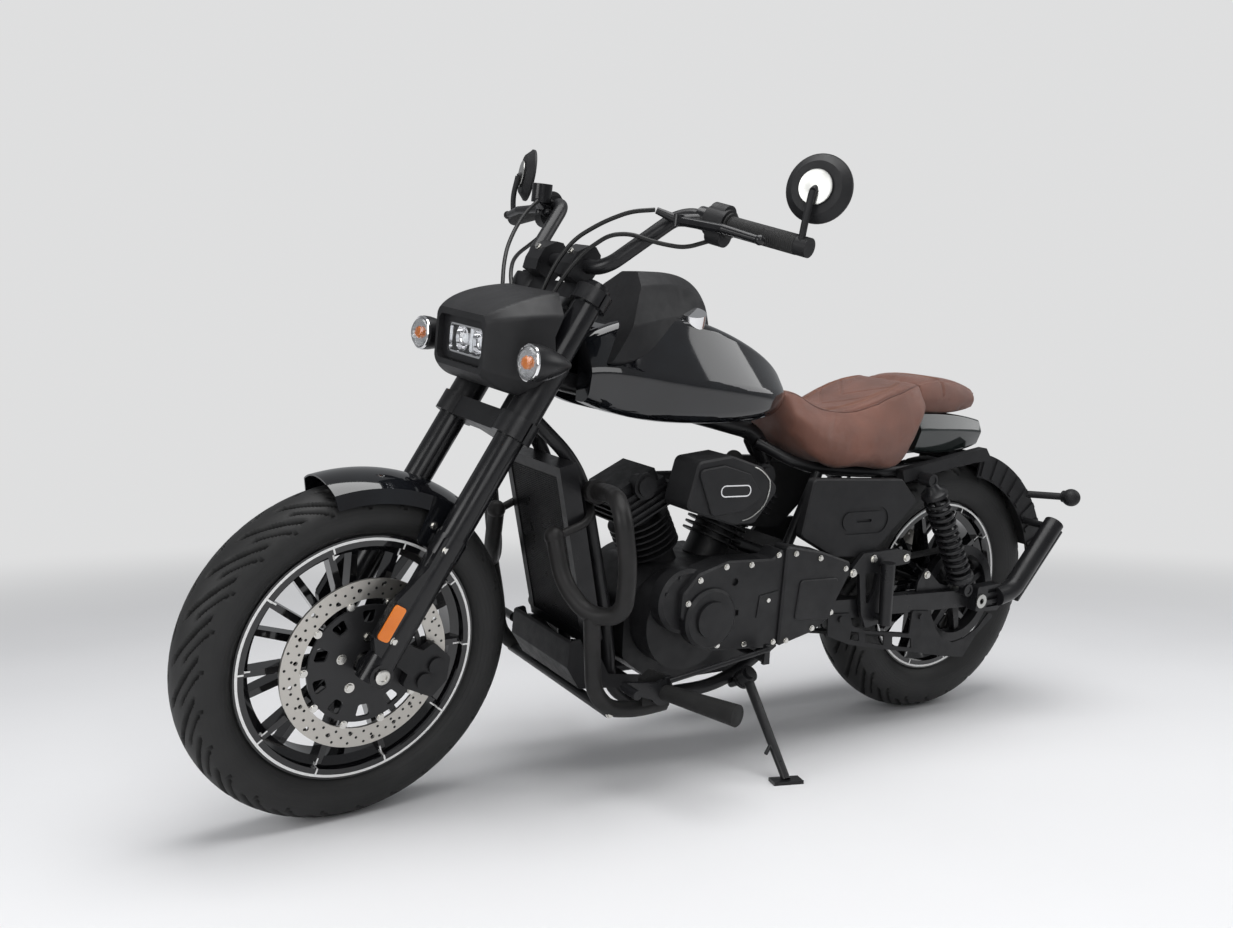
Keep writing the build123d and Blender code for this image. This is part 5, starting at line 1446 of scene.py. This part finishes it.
@dataclass
class Shocks:
    """Coil-over shocks: chrome-free black springs wound over a damper with end seats."""

    top: Point = (198.0, 160.0, 622.0)
    foot: Point = (38.0, 168.0, 352.0)
    turns: float = 12.0
    radius: float = 25.0
    wire: float = 4.6

    def make(self) -> None:
        """Build both shocks and stand them for their node."""
        first = None
        for side, label in ((1, "left"), (-1, "right")):
            foot = Vector((self.foot[0], side * self.foot[1], self.foot[2]))
            top = Vector((self.top[0], side * self.top[1], self.top[2]))
            run = top - foot
            way = run.normalized()
            length = run.length
            damper = [(12.0, 1.0), (12.0, 11.0), (20.0, 14.0), (26.0, 24.0), (34.0, 31.0), (42.0, 31.5),
                      (45.0, 28.0),
                      (46.0, 15.0), (length * 0.62, 15.0), (length * 0.63, 7.5), (length - 48,
                                                                7.5), (length - 47, 26.0),
                      (length - 42, 31.0), (length - 34, 30.0), (length - 26, 18.0), (length - 12,
                                                                12.0), (length - 12, 1.0)]
            body = publish(f"shock_damper_{label}",
                           Stock().turned(tuple(foot), tuple(way),
                                          damper).mesh(MACHINE.chassis), SATIN, Body.CHASSIS)
            if first is None:
                first = body
                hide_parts("rear_shocks")
            coil = coil_tree(f"{label}_spring", self.turns, self.radius, self.wire, length - 94.0,
                             SATIN).grow(bpy.data.meshes.new("empty"))
            lift = Matrix.Translation(MACHINE.chassis @ ((foot + way * 46.0) * MILLIMETRE))
            axis = (MACHINE.turn @ way).normalized()
            coil.transform(lift @ axis.to_track_quat("Z", "Y").to_matrix().to_4x4())
            publish(f"shock_spring_{label}", coil, SATIN, Body.CHASSIS, 60.0)
            for spot, inner, outer, name in ((top, 139.2, 172.0, "top"), (foot, 164.6, 182.0, "foot")):
                eye = [(0.0, 9.0), (0.0, 15.0), (outer - inner, 15.0), (outer - inner, 9.0),
                       (outer - inner - 2, 9.0),
                       (outer - inner - 2, 0.5), (2.0, 0.5), (2.0, 9.0)]
                place = (spot.x, side * inner, spot.z)
                publish(f"shock_{name}_eye_{label}",
                        Stock().turned(place, (0, side, 0), eye).mesh(MACHINE.chassis), SATIN, Body.CHASSIS)


@dataclass
class Reflectors:
    """Amber reflectors on the fork sliders' lug plates, with a painted glow from their finish."""

    half_width: float = 12.0
    half_length: float = 33.0
    forward: float = 37.0
    along: float = 88.0

    def make(self) -> None:
        """Build one reflector a side, each in a thin black tray."""
        for side, label in ((1, "left"), (-1, "right")):
            def lay(u: float, s: float, level: float, side: int = side) -> Point:
                return MACHINE.fork(self.forward + u, side * level, self.along + s)

            tray = Stock().slab(rounded(self.half_width + 2, self.half_length + 2, 7), 125.1, 127.5, lay)
            publish(f"reflector_tray_{label}", tray.mesh(MACHINE.steered, 0.5), SATIN, Body.STEERING)
            # Painted light: the amber finish makes each reflector glow, though a reflector is no lamp.
            lens = Stock().slab(rounded(self.half_width, self.half_length, 6), 126.0, 131.0, lay)
            publish(f"reflector_{label}", lens.mesh(MACHINE.steered, 1.2, 3), AMBER, Body.STEERING)


@dataclass
class Fastenings:
    """Every bolt in view, set by one tree for each size and body.

    Each row gives a point in the upright machine's millimetres and the way that the head faces.
    """

    covers: Sequence[tuple[Point, Point]] = tuple(
        ((x, y, z), (0, 1, 0)) for x, y, z in (
            (893, 202.3, 402), (868, 202.3, 447), (806, 202.3, 470), (742, 202.3, 470), (672, 202.3, 486),
            (664, 202.3, 300), (742, 202.3, 304), (812, 202.3, 309), (876, 202.3, 351), (690, 202.3, 392),
            (632, 210.3, 488), (562, 210.3, 474), (486, 210.3, 446), (516, 210.3, 352), (566, 210.3,
                                                                322), (636, 210.3, 302),
        ))
    alternator: Sequence[tuple[Point, Point]] = tuple(
        ((882 + 55 * math.cos(math.radians(angle)), 185.4, 400 + 55 * math.sin(math.radians(angle))),
         (0, 1, 0))
        for angle in (20, 65, 110))
    large: Sequence[tuple[Point, Point]] = (
        ((431, 180.2, 424), (0, 1, 0)), ((372, 180.2, 452), (0, 1, 0)), ((268, 180.2, 448), (0, 1, 0)),
        ((154, 148.3, 391), (0, 1, 0)), ((545, 142.2, 340), (0, 1, 0)), ((1066, 205.2, 611), (0, 1, 0)),
        ((935, 112.3, 318), (0, 1, 0)), ((1058, 205.2, 203), (0, 1, 0)), ((1058, -205.2, 203), (0, -1, 0)),
    )

    def lay(self, name: str, rows: Iterable[tuple[Point, Point]], radius: float, height: float, sides: int,
            finish: Finish, body: Body) -> None:
        """Set one size of bolt on its points.

        Args:
            name: the piece's name.
            rows: points and facings in the upright machine's millimetres.
            radius: the head's radius.
            height: the head's height.
            sides: sides of the head.
            finish: the bolts' finish.
            body: the body that they ride on.
        """
        place = MACHINE.place(body)
        turn = place.to_3x3()
        rows = list(rows)
        spots = [place @ (Vector(point) * MILLIMETRE) for point, _ in rows]
        ways = [turn @ Vector(way) for _, way in rows]
        mesh = bolt_tree(name, radius, height, sides, finish).grow(point_cloud(spots, ways))
        publish(name, mesh, finish, body)

    def wheel_ring(self, axle: Point, outside: float, radius: float, count: int,
                   start: float = 0.0) -> list[tuple[Point, Point]]:
        """Bolts round an axle on one face.

        Args:
            axle: a point on the axle.
            outside: the face's y, its sign giving the side.
            radius: the ring's radius.
            count: how many bolts.
            start: the first bolt's angle in degrees.

        Returns:
            Points and facings.
        """
        rows = []
        for index in range(count):
            angle = math.radians(start + 360.0 * index / count)
            spot = (axle[0] + radius * math.cos(angle), outside, axle[2] + radius * math.sin(angle))
            rows.append((spot, (0.0, math.copysign(1.0, outside), 0.0)))
        return rows

    def make(self) -> None:
        """Set every group of bolts."""
        front, rear = MACHINE.FRONT_AXLE, MACHINE.REAR_AXLE
        self.lay("cover_screws", self.covers, 4.6, 4.0, 18, STEEL, Body.CHASSIS)
        self.lay("alternator_screws", self.alternator, 4.0, 3.5, 18, SATIN, Body.CHASSIS)
        self.lay("chassis_bolts", self.large, 7.0, 6.0, 6, STEEL, Body.CHASSIS)
        self.lay("rotor_bolts", self.wheel_ring(front, 67.6, 50.0, 5, 18), 7.0, 5.0, 6, STEEL,
                 Body.FRONT_WHEEL)
        self.lay("rotor_buttons", self.wheel_ring(front, 67.6, 115.0, 10), 5.5, 3.0, 18, STEEL,
                 Body.FRONT_WHEEL)
        # Painted shade: thin black discs stand for the rotor's drilled holes and paint their darkness; no
        # holes are cut.
        for radius, start in ((129.5, 4), (139.5, 10), (149.5, 4)):
            hole_shade_spots = self.wheel_ring(front, 67.46, radius, 30, start)
            self.lay(f"rotor_drillings_{int(radius)}", hole_shade_spots, 2.6, 0.12, 10, RUBBER, Body.FRONT_WHEEL)
        self.lay("pulley_bolts", self.wheel_ring(rear, 115.2, 30.0, 5, 10), 6.0, 5.0, 6, STEEL,
                 Body.REAR_WHEEL)
        self.lay("rear_rotor_bolts", self.wheel_ring(rear, -75.6, 42.0, 5, 30), 6.0, 4.0, 6, STEEL,
                 Body.REAR_WHEEL)
        steered = []
        for side in (1, -1):
            steered.append((MACHINE.fork(12.0, side * 125.2, 62.0), (0, side, 0)))
            steered.append((MACHINE.fork(14.0, side * 125.2, 240.0), (0, side, 0)))
            steered.append((MACHINE.fork(26.0, side * 72.3, 268.0), (0, side, 0)))
        self.lay("slider_bolts", steered, 5.5, 4.5, 6, STEEL, Body.STEERING)
        way = MACHINE.fork(1, 0, 0)
        ahead = (way[0] - MACHINE.FRONT_AXLE[0], 0.0, way[2] - MACHINE.FRONT_AXLE[2])
        pinch = [(MACHINE.fork(24.2, side * 88.0, along), ahead) for side in (1, -1) for along in (482.0,
                                                                498.0)]
        pinch += [(MACHINE.fork(58.2, side * 53.0, 828.0), ahead) for side in (1, -1)]
        self.lay("clamp_bolts", pinch, 5.0, 5.0, 6, STEEL, Body.STEERING)


@dataclass
class RadiatorCore:
    """Fine fins across the radiator's set-back face, with tubes behind them."""

    low: Point = (1063.1, 0.0, 328.9)
    high: Point = (1141.4, 0.0, 642.1)
    half: float = 95.0
    fins: int = 78

    def make(self) -> None:
        """Grow the fins and the tubes."""
        low, high = Vector(self.low), Vector(self.high)
        run = high - low
        step = run / self.fins
        ahead = Vector((run.z, 0, -run.x)).normalized()
        tilt = Matrix.Rotation(math.atan2(run.x, run.z), 4, "Y")
        for name, sizes, count, pitch, start in (
                ("radiator_fins", (4.2, 2 * self.half, 0.8), self.fins, (0.0, 0.0, step.length),
                 low + ahead * 2.2 + step * 0.5),
                ("radiator_tubes", (2.6, 2.4, run.length - 1.0), 38, (0.0, 5.0, 0.0),
                 low + ahead * 1.4 + run * 0.5)):
            rows = slat_tree(name, sizes, count, pitch, SATIN).grow(bpy.data.meshes.new("empty"))
            place = start if name == "radiator_fins" else start - Vector((0, 92.5, 0))
            rows.transform(MACHINE.chassis @ Matrix.Translation(place * MILLIMETRE) @ tilt)
            publish(name, rows, SATIN, Body.CHASSIS)


@dataclass
class Trim:
    """Small bright and dark trim: air-box frame and lines, mirror dishes, axle cap."""

    def make(self) -> None:
        """Build every trim piece."""
        def air_box(x: float, z: float, level: float) -> Point:
            return (796.0 + x, level, 622.0 + z)

        def ring(outline: Sequence[tuple[float, float]], inner: Sequence[tuple[float, float]], low: float,
                 high: float) -> Stock:
            rows = [(outline, low), (outline, high), (inner, high), (inner, low), (outline, low)]
            return Stock().loops([[air_box(x, z, level) for x, z in points] for points, level in rows],
                                 caps=False)

        frame_ring = ring(rounded(38, 12, 11.5), rounded(35.5, 9.5, 9), 195.8, 197.6)
        publish("air_box_frame", frame_ring.mesh(MACHINE.chassis), CHROME, Body.CHASSIS)
        plate = Stock().slab(rounded(35, 9, 8.8), 195.9, 196.8, air_box)
        publish("air_box_plate", plate.mesh(MACHINE.chassis, 0.3), SATIN, Body.CHASSIS)
        lines = ([(706, 640), (724, 661), (748, 668)], [(706, 640), (699, 616), (716, 588)],
                 [(716, 588), (741, 562), (768, 560)])
        for index, line in enumerate(lines):
            points = [MACHINE.chassis @ (Vector((x, 190.6, z)) * MILLIMETRE) for x, z in line]
            bead = bead_tree("air_box_line", 1.3, BRUSHED).grow(line_curve(points))
            publish(f"air_box_line_{index + 1}", bead, BRUSHED, Body.CHASSIS)
        for side, label in ((1, "left"), (-1, "right")):
            rim = Vector((921.0, side * 437.0, 1211.0))
            way = Vector((0.92, side * 0.37, 0.09)).normalized()
            dish = [(20.1, 0.5), (20.1, 27.0), (21.4, 29.5), (22.6, 29.0), (22.9, 26.0), (22.0, 14.0),
                    (22.0, 0.5)]
            publish(f"mirror_badge_{label}",
                    Stock().turned(tuple(rim), tuple(way), dish,
                                   48).mesh(MACHINE.steered), BRUSHED, Body.STEERING)
            glass = [(-1.2, 0.5), (-1.2, 54.0), (-0.1, 54.5), (-0.1, 0.5)]
            publish(f"mirror_glass_{label}",
                    Stock().turned(tuple(rim), tuple(way), glass,
                                   48).mesh(MACHINE.steered), CHROME, Body.STEERING)
            cap = [(0.0, 0.5), (0.0, 13.5), (3.0, 13.5), (4.5, 11.0), (4.5, 7.4), (2.0, 7.4), (2.0, 0.5)]
            spot = (1500.0, side * 131.2, 314.0)
            publish(f"front_axle_cap_{label}",
                    Stock().turned(spot, (0, side, 0), cap).mesh(MACHINE.steered), STEEL, Body.STEERING)


FRONT_TYRE = Tyre("front_tyre", Body.FRONT_WHEEL, 314.0, 62.0, 55.0, 291.0, 216.0, 40.0)
REAR_TYRE = Tyre("rear_tyre", Body.REAR_WHEEL, 325.0, 74.0, 66.0, 299.0, 203.0, 47.0, pitches=24)


# Light, floor and camera


@dataclass
class Studio:
    """A pale floor, a pale surround, soft lamps and the camera."""

    camera_spot: Point = (2.1393, 1.9452, 0.708)
    yaw: float = 237.38
    pitch: float = -1.85
    roll: float = -0.09
    focal: float = 1078.55
    frame_width: float = 1233.0
    sensor: float = 36.0
    lean: float = 8.27
    backdrop: tuple[float, float, float, float] = (0.735, 0.737, 0.74, 1.0)
    fade_from: float = 1.9
    fade_to: float = 5.2

    def camera(self) -> None:
        """Stand the camera at its view."""
        lean = math.radians(self.lean)
        contact = MACHINE.rear_spin[0] - Vector((0.0, 0.325 * math.sin(lean), 0.325 * math.cos(lean)))
        yaw, pitch, roll = (math.radians(value) for value in (self.yaw, self.pitch, self.roll))
        look = Vector((math.cos(yaw) * math.cos(pitch), math.sin(yaw) * math.cos(pitch), math.sin(pitch)))
        made = bpy.data.objects.new("camera", bpy.data.cameras.new("camera"))
        made.location = Vector(self.camera_spot) + contact
        made.rotation_euler = look.to_track_quat("-Z", "Y").to_euler()
        made.rotation_euler.rotate_axis("Z", -roll)
        made.data.sensor_width = self.sensor
        made.data.lens = self.focal * self.sensor / self.frame_width
        bpy.context.scene.collection.objects.link(made)
        bpy.context.scene.camera = made

    def lamp(self, name: str, spot: Point, aim: Point, size: float, watts: float) -> None:
        """Hang one soft lamp.

        Args:
            name: the lamp's name.
            spot: where it hangs.
            aim: what it looks at.
            size: its side in metres.
            watts: its power.
        """
        data = bpy.data.lights.new(name, "AREA")
        data.energy = watts
        data.size = size
        made = bpy.data.objects.new(name, data)
        made.location = spot
        made.rotation_euler = (Vector(aim) - Vector(spot)).to_track_quat("-Z", "Y").to_euler()
        bpy.context.scene.collection.objects.link(made)

    def surround(self) -> None:
        """Light the world plainly and show it pale."""
        world = bpy.data.worlds.new("surround")
        world.use_nodes = True
        tree = world.node_tree
        plain = tree.nodes["Background"]
        plain.inputs["Color"].default_value = (0.95, 0.97, 1.0, 1.0)
        plain.inputs["Strength"].default_value = 0.30
        pale = tree.nodes.new("ShaderNodeBackground")
        pale.inputs["Color"].default_value = self.backdrop
        pale.inputs["Strength"].default_value = 1.0
        blend = tree.nodes.new("ShaderNodeMixShader")
        path = tree.nodes.new("ShaderNodeLightPath")
        tree.links.new(path.outputs["Is Camera Ray"], blend.inputs[0])
        tree.links.new(plain.outputs[0], blend.inputs[1])
        tree.links.new(pale.outputs[0], blend.inputs[2])
        tree.links.new(blend.outputs[0], tree.nodes["World Output"].inputs[0])
        bpy.context.scene.world = world

    def fade(self, paper: bpy.types.Material) -> None:
        """Let the floor run into the backdrop's colour with distance, for the eye only.

        Args:
            paper: the floor's material.
        """
        nodes = Nodes(paper)
        reach = nodes.vector("DISTANCE", nodes.position(), (0.0, 0.0, 0.0)).outputs["Value"]
        ramp = nodes.add("ShaderNodeMapRange")
        ramp.interpolation_type = "SMOOTHSTEP"
        nodes.join(reach, ramp.inputs["Value"])
        ramp.inputs["From Min"].default_value = self.fade_from
        ramp.inputs["From Max"].default_value = self.fade_to
        share = nodes.maths("MULTIPLY", ramp.outputs["Result"],
                            nodes.add("ShaderNodeLightPath").outputs["Is Camera Ray"])
        far = nodes.add("ShaderNodeEmission")
        far.inputs["Color"].default_value = self.backdrop
        blend = nodes.add("ShaderNodeMixShader")
        output = paper.node_tree.nodes["Material Output"]
        near = output.inputs["Surface"].links[0].from_socket
        nodes.join(share, blend.inputs[0])
        nodes.join(near, blend.inputs[1])
        nodes.join(far.outputs[0], blend.inputs[2])
        nodes.join(blend.outputs[0], output.inputs["Surface"])

    def floor(self) -> None:
        """Lay the floor."""
        mesh = bpy.data.meshes.new("floor")
        reach = 40.0
        mesh.from_pydata([(-reach, -reach, 0), (reach, -reach, 0), (reach, reach, 0), (-reach, reach, 0)],
                         [], [(0, 1, 2, 3)])
        finish = Finish("pale_floor", (0.80, 0.80, 0.81), (0.83, 0.83, 0.84), 0.55, 0.65, grain=220,
                        grain_depth=0.00002, mottle=0.7)
        paper = finish.material()
        self.fade(paper)
        mesh.materials.append(paper)
        made = bpy.data.objects.new("floor", mesh)
        bpy.context.scene.collection.objects.link(made)

    def build(self) -> None:
        """Set up the whole studio."""
        self.camera()
        self.surround()
        self.floor()
        self.lamp("overhead_softbox", (0.2, 0.6, 3.6), (0.0, 0.0, 0.5), 3.0, 112.0)
        self.lamp("side_softbox", (1.6, 3.6, 1.9), (0.0, 0.0, 0.6), 2.2, 34.0)
        self.lamp("front_softbox", (4.2, 0.4, 1.7), (0.2, 0.0, 0.6), 2.0, 48.0)
        self.lamp("rear_softbox", (-3.4, 1.2, 2.4), (-0.2, 0.0, 0.6), 2.0, 24.0)
        bpy.context.scene.view_settings.view_transform = "Standard"


def main() -> None:
    """Build the studio, then dress the machine piece by piece."""
    logging.basicConfig(level=logging.INFO, format="%(name)s: %(message)s")
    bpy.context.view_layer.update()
    Studio().build()
    NodeFinishes().dress()
    saddle = Saddle("saddle", "rider_seat")
    saddle.trim(saddle.make())
    pad = Pad("passenger_pad", "pillion_seat", cap=5.0, inset=3.0)
    pad.trim(pad.make())
    for assembly in (FRONT_TYRE, REAR_TYRE, HeadLamp(), FrontSignals(), TailLamp(), Shocks(), Reflectors(),
                     Fastenings(), RadiatorCore(), Trim()):
        log.info("building %s", type(assembly).__name__)
        assembly.make()


if __name__ == "__main__":
    main()
